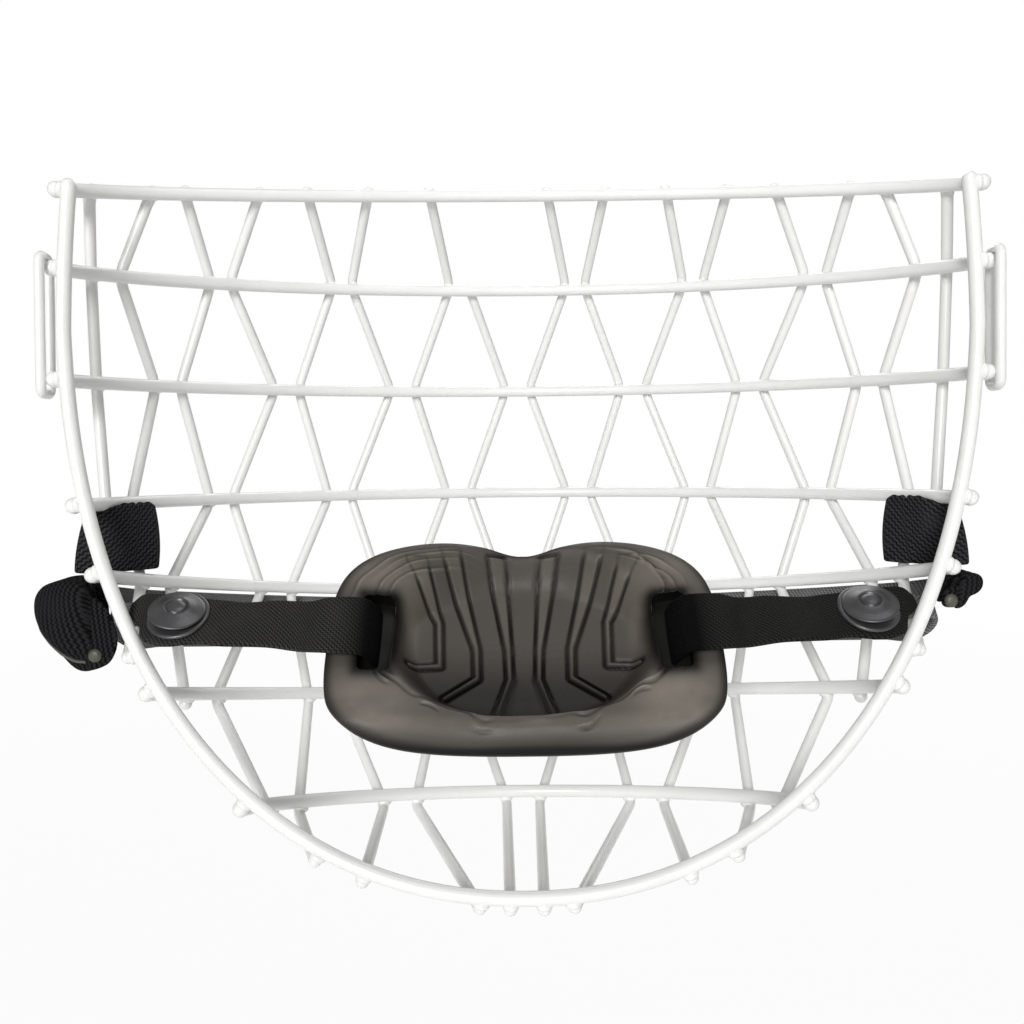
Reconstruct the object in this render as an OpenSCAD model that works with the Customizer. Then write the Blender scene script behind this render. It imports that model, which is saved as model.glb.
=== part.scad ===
// Face mask for a ringette helmet: a welded and dip-coated wire cage with a chin cup on its strap.
// X runs to the wearer's right, Y forward, Z up. The origin lies midway between the two ear loops.

/* [Wires] */
// Diameter of the rim, brow and cross wires with their coat
heavy_wire_d = 3.3; // [2.8:0.1:3.8]
// Diameter of the zigzag and upright wires with their coat
light_wire_d = 2.7; // [2.2:0.1:3.1]
// Diameter of the ear loop wire with its coat
loop_wire_d = 2.2; // [1.8:0.1:2.6]
// How deep two welded wires sink into each other
weld_sink = 0.1; // [0.05:0.05:0.2]
// How far a cross wire's end stands out behind the rim
bar_overhang = 1; // [0.5:0.1:3]
// How far a zigzag wire's end stands out past a cross wire
zigzag_overhang = 3; // [1.5:0.1:5]
// How far a zigzag wire's end stands out past the rim
chin_overhang = 0.8; // [0.5:0.1:3]

/* [Rim] */
// Half the width between the centres of the rim's two sides
rim_half_width = 104.8; // [98:0.2:112]
// Drop of the rim from its widest place to the chin
rim_drop = 125.9; // [115:0.5:135]
// Height of the rim's widest place against the ear loops
rim_wide_z = -1.7; // [-10:0.1:8]
// Rise of the rim from its widest place to its top ends
rim_rise = 35.2; // [30:0.2:45]
// How far the rim's top ends lean inwards
rim_top_inset = 1.4; // [0:0.1:4]
// Place of the rim's sides behind the ear loops
rim_side_y = -2.5; // [-6:0.1:0]
// How far the rim's top ends lean forwards
rim_top_lean = 3.5; // [0:0.1:8]
// How far the chin of the rim lies behind its sides
rim_chin_back = 19; // [10:0.5:28]

/* [Ear loops] */
// Height of an ear loop between its wire's centres
ear_loop_h = 31.3; // [29:0.1:36]
// Depth of an ear loop between its wire's centres
ear_loop_w = 7.1; // [6.4:0.1:9]
// Angle by which an ear loop opens outwards to the front
ear_loop_toe = 10; // [4:1:16]
// Bend radius in the corners of an ear loop
ear_loop_bend = 2; // [1.6:0.1:3]

/* [Chin strap] */
// Width of the chin strap
strap_w = 15; // [13:0.5:17]
// Thickness of the chin strap
strap_t = 1.4; // [1:0.1:1.6]
// Gap between the two layers of the chin strap
strap_gap = 0.4; // [0.3:0.1:0.8]
// Place of the snaps to each side
snap_x = 79.5; // [74:0.5:82]
// Diameter of a snap's cap
snap_cap_d = 12.6; // [10:0.1:14]
// Height of a snap's cap
snap_cap_h = 2.6; // [2:0.1:3.5]
// Diameter of the washer under a snap's cap
snap_washer_d = 14.2; // [12:0.1:15.5]

/* [Chin cup] */
// Half the width of the chin cup
cup_half_w = 44.5; // [40:0.5:50]
// Height of the chin cup above its strap slots' middle
cup_up = 27.5; // [24:0.5:32]
// Height of the chin cup below its strap slots' middle
cup_down = 31; // [26:0.5:34]
// Lean of the chin cup's face against the upright
cup_lean = 45; // [40:1:50]
// Depth of the sunken panel
panel_depth = 9; // [6:0.5:11]
// Thickness of the cup's wall
cup_wall = 5; // [4:0.5:7]
// Length of a strap slot, along the width of the strap
slot_len = 20; // [19:0.5:22]
// Opening of a strap slot
slot_gap = 7; // [6:0.2:8]
// Place of the strap slots to each side
slot_x = 33.7; // [32:0.1:36]
// Room for the cup to rock between the layers of its strap
cup_room = 0.85; // [0.7:0.05:0.95]
// Pairs of ribs in the sunken panel
rib_pairs = 3; // [1:1:3]

/* [Side straps] */
// Width of the side straps
side_strap_w = 17; // [15:0.5:17]
// Thickness of the side strap's webbing
side_strap_t = 1.4; // [1:0.1:1.6]
// Room between a side strap and the wires that run through it
webbing_room = 0.35; // [0.3:0.05:0.6]

/* [Hidden] */
// Forward reach of the brow wire and of the six cross wires at the front, from top to bottom
bar_reach = [55, 76.7, 87.8, 91.1, 82.4, 64.1, 31.5];
// Height of the same wires at the front
bar_front_z = [43, 19.5, -11.4, -44.9, -76.6, -105.5, -124.5];
// Height at which each of them crosses the rim
bar_rim_z = [30.8, 12.9, -12.3, -40.8, -56.2, -82.3, -106.6];
// Steps between the pairs of zigzag bends along each of them
pair_pitch = [34.6, 36, 37.3, 39.5, 39.8, 40.5, 34];
// How much that step falls off towards the sides
pitch_fall = [0.9, 0, 0, 0, 0, 0, 0];
// Distance between the two bends of a pair, at the middle
pair_gap = [17, 6.5, 8.5, 8.4, 10.3, 10.8, 9.4];
// How much that distance falls off from pair to pair
gap_fall = [4.3, 0, 0, 0, 0, 0, 0];
// Place of the two uprights, back from the ends of the brow wire and the first three cross wires
upright_back = [13.7, 17.5, 19.7, 17.5];
// Distance of the outermost zigzag wire from the upright
upright_gap = 8.8;
// Sideways place where zigzag wires a, d, e, f and g cross the rim, as shares of the rim's half width
rim_weld_share = [0.84, 0.434, 0.339, 0.0954, 0.0344];
// Power of the bow that every cross wire follows, seen from above
bow_power = 1.65;
// Power of the rim's curve, seen from behind
rim_power = 2.15;
// Swell of a wire's coated end
ball = 1.12;
// Sides of a heavy and of a light swept wire
heavy_sides = 8;
light_sides = 6;
// Length of a wire on each side of a bend that the bend takes
bend_reach = 3;

// Middle between the chin cup's slots, behind and above which the strap runs
cup_y = -6.3;
cup_z = -70.6;
// Powers of the cup's outline above and below its slots, and the notch in its upper edge
cup_top_power = 3.2;
cup_low_power = 3.8;
cup_notch = 4;
cup_notch_w = 10;
// How much the cup's sides come round the chin, and the swell of its lower lip
cup_wrap = 0.0025;
cup_lip = 3.5;
// Half the sunken panel's width, its reach up and down from its middle, and its middle in the cup's frame
panel_half_w = 30;
panel_top = 22;
panel_low = 24;
panel_up = 3.5;
// Steps around the cup's outline
cup_steps = 36;
// A rib's top, kink, foot and the end of its arm, on the right, for the pairs from the middle outwards
rib_lines = [
    [[6.4, 22.6], [3.7, -0.4], [3.4, -8.4], [6.6, -18]],
    [[17.9, 23.6], [11.3, -0.2], [11, -8.2], [18.4, -13.6]],
    [[25.9, 19.8], [20.4, 6.7], [19.8, -5.1], [26.6, -5.8]]
];
// Half a rib's width at those places, and its height over the panel
rib_half_w = [2.1, 0.65, 0.65, 0.5];
rib_rise = 0.9;
// Middle of the strap slots in the cup's frame
slot_y = -2.2;

// Middle of the chin strap's upper layer under the snaps, and the lean of its face there
snap_y = -6;
snap_z = -67.6;
snap_lean = 37;
snap_stud_d = 9.6;
snap_stud_h = 1.6;
// Height of the outer strap between the fourth and the fifth cross wire, and its distance from them
outer_strap_share = 0.3;
outer_strap_lift = 5.9;
// How far the inner end of the outer strap reaches past the snap
under_reach = 7.5;

// Side straps: the bends of their loops, back from the ends of the third cross wire, their two layers on its
// inner and outer side, their upper edge over its middle, and how far their outer bends lean out below
loop_inner = 25.5;
loop_outer = 17;
loop_in = 3;
loop_out = 5.4;
loop_top = 0.3;
loop_swing = 4;
// Layers of a folded strap end, from the side of the cage to the side of the rim
fold_pitch = 2.8;
fold_count = 4;
fold_y = 4.8;
rivet_d = 3.2;
rivet_h = 1.1;

heavy_r = heavy_wire_d / 2;
light_r = light_wire_d / 2;
loop_r = loop_wire_d / 2;

// Vector helpers
function unit(v) = v / norm(v);
function mix(a, b, t) = a * (1 - t) + b * t;
function mirrored(p, side) = [side * p.x, p.y, p.z];

// Rim: a point for a height above or below its widest place
function rim_fall(z) = min(1, max(0, (rim_wide_z - z) / rim_drop));
function rim_climb(z) = max(0, (z - rim_wide_z) / rim_rise);
function rim_x(z) = rim_half_width * pow(1 - pow(rim_fall(z), rim_power), 1 / rim_power)
    - rim_top_inset * pow(rim_climb(z), 2);
function rim_y(z) = rim_side_y - rim_chin_back * pow(rim_fall(z), 2) + rim_top_lean * rim_climb(z);
function rim_at(z) = [rim_x(z), rim_y(z), z];
function rim_z(x) = rim_wide_z - rim_drop * pow(1 - pow(x / rim_half_width, rim_power), 1 / rim_power);
function rim_tangent(z) = unit(rim_at(z + 0.2) - rim_at(z - 0.2));

// Cross wires: where wire i crosses the rim, and the bow that it follows from there to the front
weld_step = 2 * heavy_r - weld_sink;
function rim_out(z) = let (t = rim_tangent(z)) unit([t.z, 0, -t.x]);
function bar_cross(i) = rim_at(bar_rim_z[i]) + weld_step * rim_out(bar_rim_z[i]);
function bar_end_y(i) = bar_cross(i).y - bar_overhang;
function bar_depth(i) = bar_reach[i] - bar_end_y(i);
function bar_share(i) = bar_overhang / bar_depth(i);
function bar_half(i) = bar_cross(i).x / sqrt(1 - pow(bar_share(i), bow_power));
function bar_end_z(i) = (bar_cross(i).z - bar_front_z[i] * bar_share(i)) / (1 - bar_share(i));
function bar_at(i, turn) = let (rise = pow(max(0, cos(turn)), 2 / bow_power))
    [bar_half(i) * sin(turn), bar_end_y(i) + bar_depth(i) * rise, mix(bar_end_z(i), bar_front_z[i], rise)];

// Length along cross wire i from its middle, in a table that lookup() reads
bar_turns = [for (k = [0 : 60]) 90 * sin(k * 1.5)];
function bar_line(i) = [for (turn = bar_turns) bar_at(i, turn)];
function run_length(line) = [for (k = 0, s = 0; k < len(line);
    s = k < len(line) - 1 ? s + norm(line[k + 1] - line[k]) : s, k = k + 1) s];
bar_lines = [for (i = [0 : 6]) bar_line(i)];
bar_runs = [for (i = [0 : 6]) run_length(bar_lines[i])];
function along(i, s, axis) = lookup(s, [for (k = [0 : len(bar_turns) - 1]) [bar_runs[i][k], bar_lines[i][k][axis]]]);
function bar_point(i, s) = [along(i, s, 0), along(i, s, 1), along(i, s, 2)];
function bar_tangent(i, s) = unit(bar_point(i, s + 0.5) - bar_point(i, s - 0.5));
function bar_length(i) = bar_runs[i][len(bar_turns) - 1];

// Zigzag bends: pair k of cross wire i lies at this distance from the middle
function pair_at(i, k) = pair_pitch[i] * k - pitch_fall[i] * k * k;
function gap_at(i, k) = pair_gap[i] - gap_fall[i] * (k - 1);
// Wires are numbered 0 to 6 for a to g, from the side to the middle
function odd_bar(i) = i % 2 == 1;
function pair_of(i, w) = odd_bar(i) ? floor((6 - w) / 2) + 0.5 : floor((7 - w) / 2);
function outer_of_pair(i, w) = odd_bar(i) ? w % 2 == 1 : w % 2 == 0;
function upright_at(i) = bar_length(i) - upright_back[min(i, 3)];
function bend_at(i, w) = w == 0 && odd_bar(i) ? upright_at(i) - upright_gap
    : pair_at(i, pair_of(i, w)) + gap_at(i, max(1, pair_of(i, w))) / 2 * (outer_of_pair(i, w) ? 1 : -1);

// The cross wires that each zigzag wire is welded to, and whether it goes on to the rim
last_bar = [4, 5, 6, 6, 6, 6, 6];
rim_weld = [0, -1, -1, 1, 2, 3, 4];

// Centres of the crossed wires, then the bends, set outwards by the two wires' radii
function crossed(w, first) = concat(
    [for (i = [first : last_bar[w]]) bar_point(i, bend_at(i, w))],
    rim_weld[w] < 0 ? [] : [rim_at(rim_z(rim_half_width * rim_weld_share[rim_weld[w]]))]);
function crossed_tangents(w, first) = concat(
    [for (i = [first : last_bar[w]]) bar_tangent(i, bend_at(i, w))],
    rim_weld[w] < 0 ? [] : [rim_tangent(rim_z(rim_half_width * rim_weld_share[rim_weld[w]]))]);
function ahead(line, k) = unit(line[min(k + 1, len(line) - 1)] - line[max(k - 1, 0)]);
function outward(n, p) = n * [p.x, p.y + 30, p.z + 40] < 0 ? -n : n;
function lifted(line, tangents, lift) = [for (k = [0 : len(line) - 1])
    line[k] + lift * outward(unit(cross(tangents[k], ahead(line, k))), line[k])];
light_lift = heavy_r + light_r - weld_sink;

// A bend takes some of the wire on both sides; its middle lies on the weld
function bend(line, k) = let (
        back = unit(line[k - 1] - line[k]),
        front = unit(line[k + 1] - line[k]),
        corner = line[k] - bend_reach / 4 * (back + front))
    [corner + bend_reach * back, line[k], corner + bend_reach * front];
function bent(line) = [for (k = [0 : len(line) - 1])
    each (k == 0 || k == len(line) - 1 ? [line[k]] : bend(line, k))];
function run_out(line, over) = concat(line, [line[len(line) - 1]
    + over * unit(line[len(line) - 1] - line[len(line) - 2])]);

// Rounded ends: extra rings near both ends, each with its own radius
function end_rings(a, b, r) = let (d = unit(b - a))
    [[a, 0.55], [a + d * 0.45 * r, 1], [a + d * 1.1 * r, ball], [a + d * 2 * r, 1]];
function ringed(line, r) = let (
        n = len(line),
        tail = end_rings(line[n - 1], line[n - 2], r),
        clear = 2.3 * r,
        body = [for (k = [1 : n - 2]) if (norm(line[k] - line[0]) > clear && norm(line[k] - line[n - 1]) > clear)
            [line[k], 1]])
    concat(end_rings(line[0], line[1], r), body, [for (k = [3 : -1 : 0]) tail[k]]);

// Sweep of a round section; side_axis is never in line with the path
function ring_frame(d, side_axis) = let (u = unit(cross(d, side_axis))) [u, cross(d, u)];
function side_faces(rings, sides, closed) =
    [for (i = [0 : rings - (closed ? 1 : 2)], j = [0 : sides - 1]) let (
        a = i * sides + j,
        b = i * sides + (j + 1) % sides,
        c = ((i + 1) % rings) * sides + (j + 1) % sides,
        d = ((i + 1) % rings) * sides + j) each [[a, d, c], [a, c, b]]];
function grid_faces(rings, sides, closed) = concat(side_faces(rings, sides, closed),
    closed ? [] : [[for (j = [0 : sides - 1]) j],
        [for (j = [sides - 1 : -1 : 0]) (rings - 1) * sides + j]]);
// A polygon with this many sides and this much more radius has the area of the round wire
function round_up(sides) = sqrt(2 * PI / (sides * sin(360 / sides)));
module sweep_wire(rings, r, sides, side_axis, closed = false) {
    n = len(rings);
    points = [for (k = [0 : n - 1]) let (
            before = closed ? (k + n - 1) % n : max(k - 1, 0),
            after = closed ? (k + 1) % n : min(k + 1, n - 1),
            f = ring_frame(unit(rings[after][0] - rings[before][0]), side_axis))
        for (j = [0 : sides - 1]) let (turn = (j + 0.5) * 360 / sides)
            rings[k][0] + r * round_up(sides) * rings[k][1] * (cos(turn) * f[0] + sin(turn) * f[1])];
    polyhedron(points, grid_faces(n, sides, closed), convexity = 8);
}

module rim_wire() {
    low = [for (turn = [0 : 5 : 90]) let (z = rim_wide_z - rim_drop * pow(sin(turn), 1.3)) rim_at(z)];
    high = [for (share = [1, 0.7, 0.4, 0.15]) rim_at(rim_wide_z + share * rim_rise)];
    half = concat(high, low);
    n = len(half);
    whole = concat(half, [for (k = [n - 2 : -1 : 0]) mirrored(half[k], -1)]);
    color("white") sweep_wire(ringed(whole, heavy_r), heavy_r, heavy_sides, [0, 1, 0]);
}

module cross_wire(i) {
    line = [for (k = [-17 : 17]) bar_at(i, 90 * sin(k * 90 / 17))];
    color("white") sweep_wire(ringed(line, heavy_r), heavy_r, heavy_sides, [0, 0, 1]);
}

// The middle wire on the left has no length between the brow wire and the first cross wire
module zigzag_wire(w, side, room = 0) {
    first = w == 6 && side < 0 ? 1 : 0;
    line = lifted(crossed(w, first), crossed_tangents(w, first), light_lift);
    path = run_out(bent(line), rim_weld[w] < 0 ? zigzag_overhang : chin_overhang);
    color("whitesmoke") sweep_wire(
        [for (ring = ringed(path, light_r)) [mirrored(ring[0], side), ring[1]]],
        light_r + room, light_sides, [1, 0, 0]);
}

module upright(side, room = 0) {
    bars = [for (i = [0 : 3]) bar_point(i, upright_at(i))];
    tangents = [for (i = [0 : 3]) bar_tangent(i, upright_at(i))];
    path = run_out(bent(lifted(bars, tangents, light_lift)), 1);
    color("whitesmoke") sweep_wire(
        [for (ring = ringed(path, light_r)) [mirrored(ring[0], side), ring[1]]],
        light_r + room, light_sides, [1, 0, 0]);
}

// Ear loop: a closed ring that lies against the ends of the first two cross wires
module ear_loop(side) {
    out = bar_half(1) + heavy_r + loop_r - weld_sink + ear_loop_w / 2 * sin(ear_loop_toe);
    corners = [[1, 1], [-1, 1], [-1, -1], [1, -1]];
    flat = [for (c = [0 : 3], turn = [0 : 22.5 : 90]) [
        (ear_loop_w / 2 - ear_loop_bend) * corners[c].x + ear_loop_bend * cos(c * 90 + turn),
        (ear_loop_h / 2 - ear_loop_bend) * corners[c].y + ear_loop_bend * sin(c * 90 + turn)]];
    ring = [for (p = flat) [[side * (out + p.x * sin(ear_loop_toe)), p.x * cos(ear_loop_toe), p.y], 1]];
    color("gainsboro") sweep_wire(ring, loop_r, heavy_sides, [cos(ear_loop_toe), -side * sin(ear_loop_toe), 0], true);
}

// Chin cup's own frame: X to the right, Y up its face, Z out of its face towards the chin
module in_cup() {
    translate([0, cup_y, cup_z]) rotate([cup_lean, 0, 0]) children();
}
function from_cup(p) = [p.x, cup_y + p.y * cos(cup_lean) - p.z * sin(cup_lean),
    cup_z + p.y * sin(cup_lean) + p.z * cos(cup_lean)];

// The cup's outline, and the height of its face over its own frame
function smooth(t) = let (u = min(1, max(0, t))) u * u * (3 - 2 * u);
function signed_pow(v, n) = sign(v) * pow(abs(v), n);
function cup_outline(turn) = let (
        above = sin(turn) > 0,
        n = 2 / (above ? cup_top_power : cup_low_power),
        x = cup_half_w * signed_pow(cos(turn), n),
        notch = above ? cup_notch * exp(-pow(x / cup_notch_w, 2)) : 0)
    [x, (above ? cup_up : cup_down) * signed_pow(sin(turn), n) - notch];
// The panel's walls are steep at the sides and below, and its floor runs out gently above
function panel_share(x, y) = let (above = smooth((y - panel_up) / 12))
    smooth((mix(1.25, 1.02, above) - pow(abs(x) / panel_half_w, 2.4)
        - pow(abs(y - panel_up) / (y > panel_up ? panel_top : panel_low), 2.4)) / mix(0.55, 0.85, above));
function flange_height(x) = cup_wrap * x * x;
function cup_face(x, y) = flange_height(x) - panel_depth * panel_share(x, y)
    + cup_lip * exp(-pow((y + cup_down - 7.5) / 6, 2));

// Rings of the cup's shell: share of the outline, then 1 for the face and -1 for the back
front_shares = [0.22, 0.38, 0.5, 0.6, 0.68, 0.76, 0.84, 0.91, 0.96, 0.99];
back_shares = [0.97, 0.9, 0.8, 0.68, 0.55, 0.38, 0.2];
function shell_height(x, y, share, face) = cup_face(x, y) - cup_wall / 2
    + face * cup_wall / 2 * sqrt(1 - pow(share, 8));
function shell_ring(share, face) = [for (k = [0 : cup_steps - 1]) let (
        edge = cup_outline(-k * 360 / cup_steps),
        x = share * edge.x,
        y = share * edge.y)
    [x, y, shell_height(x, y, share, face)]];
module cup_shell() {
    rings = concat([for (s = front_shares) shell_ring(s, 1)], [shell_ring(1, 0)],
        [for (s = back_shares) shell_ring(s, -1)]);
    n = len(rings);
    points = concat([for (ring = rings) each ring],
        [[0, 0, shell_height(0, 0, 0, 1)], [0, 0, shell_height(0, 0, 0, -1)]]);
    faces = concat(side_faces(n, cup_steps, false),
        [for (k = [0 : cup_steps - 1]) [n * cup_steps, k, (k + 1) % cup_steps]],
        [for (k = [0 : cup_steps - 1]) let (last = (n - 1) * cup_steps)
            [n * cup_steps + 1, last + (k + 1) % cup_steps, last + k]]);
    polyhedron(points, faces, convexity = 6);
}

// A rib: a wedge that runs down the sunken panel to its kink, on to its foot and out along its arm
function divided(line, parts) = concat([for (k = [0 : len(line) - 2], j = [0 : parts - 1])
    mix(line[k], line[k + 1], j / parts)], [line[len(line) - 1]]);
module cup_rib(pair, side) {
    parts = 3;
    line = divided(rib_lines[pair], parts);
    half = divided(rib_half_w, parts);
    n = len(line);
    points = [for (k = [0 : n - 1]) let (
            d = unit(line[min(k + 1, n - 1)] - line[max(k - 1, 0)]),
            across = half[k] * [-d.y, d.x],
            h = cup_face(line[k].x, line[k].y),
            one = line[k] + across,
            other = line[k] - across)
        each [[one.x, one.y, h + rib_rise], [other.x, other.y, h + rib_rise],
            [other.x, other.y, h - cup_wall / 2], [one.x, one.y, h - cup_wall / 2]]];
    on_side(side) polyhedron(points, grid_faces(n, 4, false), convexity = 4);
}

module chin_cup() {
    color("dimgray") in_cup() difference() {
        union() {
            cup_shell();
            for (pair = [0 : rib_pairs - 1], side = [-1, 1]) cup_rib(pair, side);
        }
        for (side = [-1, 1]) translate([side * slot_x, slot_y, 0])
            cube([slot_gap, slot_len, 4 * (panel_depth + cup_wall)], center = true);
    }
}

// A flat band: each ring is its middle, the direction of its width and half its width
module ribbon(rings, t, closed = false) {
    n = len(rings);
    points = [for (k = [0 : n - 1]) let (
            before = closed ? (k + n - 1) % n : max(k - 1, 0),
            after = closed ? (k + 1) % n : min(k + 1, n - 1),
            w = unit(rings[k][1]),
            side = rings[k][2] * w,
            up = t / 2 * unit(cross(rings[after][0] - rings[before][0], w)))
        each [rings[k][0] + side + up, rings[k][0] - side + up,
            rings[k][0] - side - up, rings[k][0] + side - up]];
    polyhedron(points, grid_faces(n, 4, closed), convexity = 8);
}
function leant(lean) = [0, cos(lean), sin(lean)];
function cup_ring(p, side) = [from_cup(mirrored(p, side)), leant(p[4]), p[3] * strap_w / 2];

// Snap's frame: its middle lies in the strap's upper layer, Y runs across the strap and Z out of its face
module at_snap(side, h) {
    translate([side * snap_x, snap_y, snap_z]) rotate([snap_lean, 0, 0]) translate([0, 0, h]) children();
}
function from_snap(p) = [snap_x + p.x, snap_y + p.y * cos(snap_lean) - p.z * sin(snap_lean),
    snap_z + p.y * sin(snap_lean) + p.z * cos(snap_lean)];
function snap_ring(p, side) = [mirrored(from_snap(p), side), leant(p[4]), p[3] * strap_w / 2];

// Chin strap: from its rounded tab under the snap's cap, over the cup's edge, through the slot and behind the
// cup. Each place ends with the share of the strap's width and the lean of its face there.
slot_out = slot_x + slot_gap / 2;
slot_in = slot_x - slot_gap / 2;
over_cup = strap_t / 2 + cup_room;
behind_cup = -panel_depth - cup_wall - over_cup;
tab_line = [
    [12.3, 4, -1.1, 0.28, snap_lean],
    [11, 3.9, -0.6, 0.48, snap_lean],
    [9, 3, 0, 0.62, snap_lean],
    [7.2, 0.8, 0, 0.9, snap_lean],
    [4.5, 0, 0, 1, snap_lean],
    [-7.8, -1.1, 0, 0.88, snap_lean],
    [-10.8, -1.6, 0, 1, 29],
    [cup_half_w + 12 - snap_x, -2.6, 0.8, 1, 32]
];
chin_line = [
    [cup_half_w + 5.5, slot_y + 1.4, flange_height(cup_half_w) - 2, 1, 36],
    [cup_half_w, slot_y - 0.3, flange_height(cup_half_w) + over_cup - 0.4, 1, 42],
    [slot_out + 2.3, slot_y - 0.3, flange_height(slot_out + 2.3) + over_cup + 0.5, 1, 45],
    [slot_out - 0.8, slot_y - 0.2, flange_height(slot_out) + over_cup + 0.1, 1, 45],
    [slot_out - 2.5, slot_y, flange_height(slot_out) - 1.2, 1, 45],
    [slot_x - 0.3, slot_y, -3, 1, 45],
    [slot_in + 1.7, slot_y, mix(-3, behind_cup, 0.45), 1, 45],
    [slot_in - 1.6, slot_y, behind_cup + 2.3, 1, 45],
    [slot_in - 6.2, slot_y, behind_cup + 0.1, 1, 45],
    [slot_in / 2, slot_y, behind_cup, 1, 45]
];
function half_strap(side) = concat([for (p = tab_line) snap_ring(p, side)], [for (p = chin_line) cup_ring(p, side)]);
function reversed(line) = [for (k = [len(line) - 1 : -1 : 0]) line[k]];
module chin_strap() {
    color("dimgray") ribbon(concat(half_strap(-1), reversed(half_strap(1))), strap_t);
}

// Outer strap: under the snap, out between the rim and the first zigzag wire, and round the cage's front
under_h = -strap_t - strap_gap;
under_line = [
    [-under_reach, -0.2, under_h, 1, snap_lean],
    [4.5, 1.2, under_h, 0.84, snap_lean],
    [6.7, 2.2, under_h, 0.7, snap_lean],
    [9, 3.3, under_h - 0.2, 0.58, snap_lean],
    [11.5, 4.2, under_h - 1, 0.5, snap_lean],
    [17.2, 4.7, under_h - 1.9, 0.5, snap_lean]
];
function under_half(side) = [for (p = under_line) snap_ring(p, side)];
function outer_ring(share) = let (
        side = share < 0 ? -1 : 1,
        s4 = abs(share) * bar_length(4),
        s5 = abs(share) * bar_length(5),
        up = bar_point(4, s4) - bar_point(5, s5),
        middle = mix(bar_point(4, s4), bar_point(5, s5), outer_strap_share),
        out = outward(unit(cross(up, bar_tangent(4, s4))), middle))
    [mirrored(middle + outer_strap_lift * out, side), mirrored(up, side), strap_w / 2];
module outer_strap() {
    color("dimgray") ribbon(concat(under_half(-1), [for (share = [-0.9 : 0.075 : 0.91]) outer_ring(share)],
        reversed(under_half(1))), strap_t);
}

// Snap: washer and domed cap on the strap's upper layer, stud behind its lower layer
module snap_cap(side) {
    washer_r = snap_washer_d / 2;
    cap_r = snap_cap_d / 2;
    color("slategray") at_snap(side, strap_t / 2) rotate_extrude($fn = 48) polygon([
        [0, 0], [washer_r - 0.4, 0], [washer_r, 0.4], [cap_r + 0.2, 0.9], [cap_r, snap_cap_h * 0.55],
        [cap_r * 0.86, snap_cap_h * 0.88], [cap_r * 0.72, snap_cap_h], [cap_r * 0.6, snap_cap_h * 0.86],
        [cap_r * 0.36, snap_cap_h * 0.84], [cap_r * 0.26, snap_cap_h * 0.6], [0, snap_cap_h * 0.55]]);
}
module snap_stud(side) {
    stud_r = snap_stud_d / 2;
    color("slategray") at_snap(side, under_h - strap_t / 2 - snap_stud_h) rotate_extrude($fn = 48) polygon([
        [0, snap_stud_h], [0, 0.3], [stud_r * 0.35, 0.3], [stud_r * 0.5, 0], [stud_r * 0.85, 0.1],
        [stud_r, snap_stud_h * 0.5], [stud_r, snap_stud_h]]);
}

// Side strap: a loop of webbing round the third cross wire, drawn as a line and its thickness
module on_side(side) {
    mirror([side < 0 ? 1 : 0, 0, 0]) children();
}
// Side strap's loop: it runs behind the third cross wire and round the outermost zigzag wire below it
module swollen_cross_wire(i) {
    line = [for (k = [0 : 17]) bar_at(i, 90 * sin(k * 90 / 17))];
    sweep_wire([for (p = line) [p, 1]], heavy_r + webbing_room, heavy_sides, [0, 0, 1]);
}
loop_bend = (loop_out + loop_in) / 2;
function loop_place(back, off) = let (
        s = bar_length(3) - back,
        t = bar_tangent(3, s))
    bar_point(3, s) + off * unit([-t.y, t.x, 0]) + [0, 0, loop_top];
function loop_turn(back, turn) = loop_place(back + loop_bend * sin(turn), (loop_out - loop_in) / 2
    + loop_bend * cos(turn));
loop_line = concat([for (turn = [0 : 22.5 : 180]) loop_turn(loop_inner, turn)],
    [for (share = [0.25 : 0.25 : 0.75]) loop_place(mix(loop_inner, loop_outer, share), -loop_in)],
    [for (turn = [180 : 22.5 : 360]) loop_turn(loop_outer, turn)],
    [for (share = [0.25 : 0.25 : 0.75]) loop_place(mix(loop_outer, loop_inner, share), loop_out)]);
loop_a = bar_point(3, bend_at(3, 0));
loop_b = bar_point(4, bend_at(4, 0));
inner_drop = side_strap_w * (loop_b - loop_a) / (loop_a.z - loop_b.z);
outer_drop = [loop_swing, -2, -side_strap_w];
module side_loop(side) {
    low_y = min([for (p = loop_line) p.y]);
    high_y = max([for (p = loop_line) p.y]);
    rings = [for (p = loop_line) let (drop = mix(outer_drop, inner_drop, (p.y - low_y) / (high_y - low_y)))
        [p + drop / 2, -drop, norm(drop) / 2]];
    color("dimgray") on_side(side) difference() {
        ribbon(rings, side_strap_t, true);
        swollen_cross_wire(3);
        zigzag_wire(0, 1, webbing_room);
        upright(1, webbing_room);
    }
}

// Folded end of a side strap: layers that turn at top and bottom, cut to the outline seen from behind.
// Places are out from the middle of the strap's loop and up from the fold's top.
fold_x = bar_point(3, bar_length(3) - loop_outer).x;
fold_top = bar_point(3, bar_length(3) - loop_outer).z + loop_top - side_strap_w - 0.3;
fold_outline_left = [[1.5, 0], [9, -0.2], [11.4, -1.2], [13, -3.6], [13.5, -7], [13, -11], [10.6, -15.4],
    [7, -20], [5.2, -21.6], [3.4, -22.2], [1.5, -21.7]];
fold_outline_right = [[1.5, 0], [4.7, -0.2], [5.5, -1.4], [5, -3.4], [3.8, -5.6], [1.5, -8]];
tongue_left = [[-2.7, -11], [-1.7, -6], [2.3, -3.5], [2.3, -21.9], [-1.3, -20.4], [-2.7, -18]];
tongue_right = [[-3.1, -5.6], [-2.1, -3.4], [2.3, -2.6], [2.3, -6.6], [0.9, -8.2], [-3.1, -8.2]];
rivet_left = [-0.9, -17.4];
rivet_right = [-1.3, -6.4];
fold_reach = 15;
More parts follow.
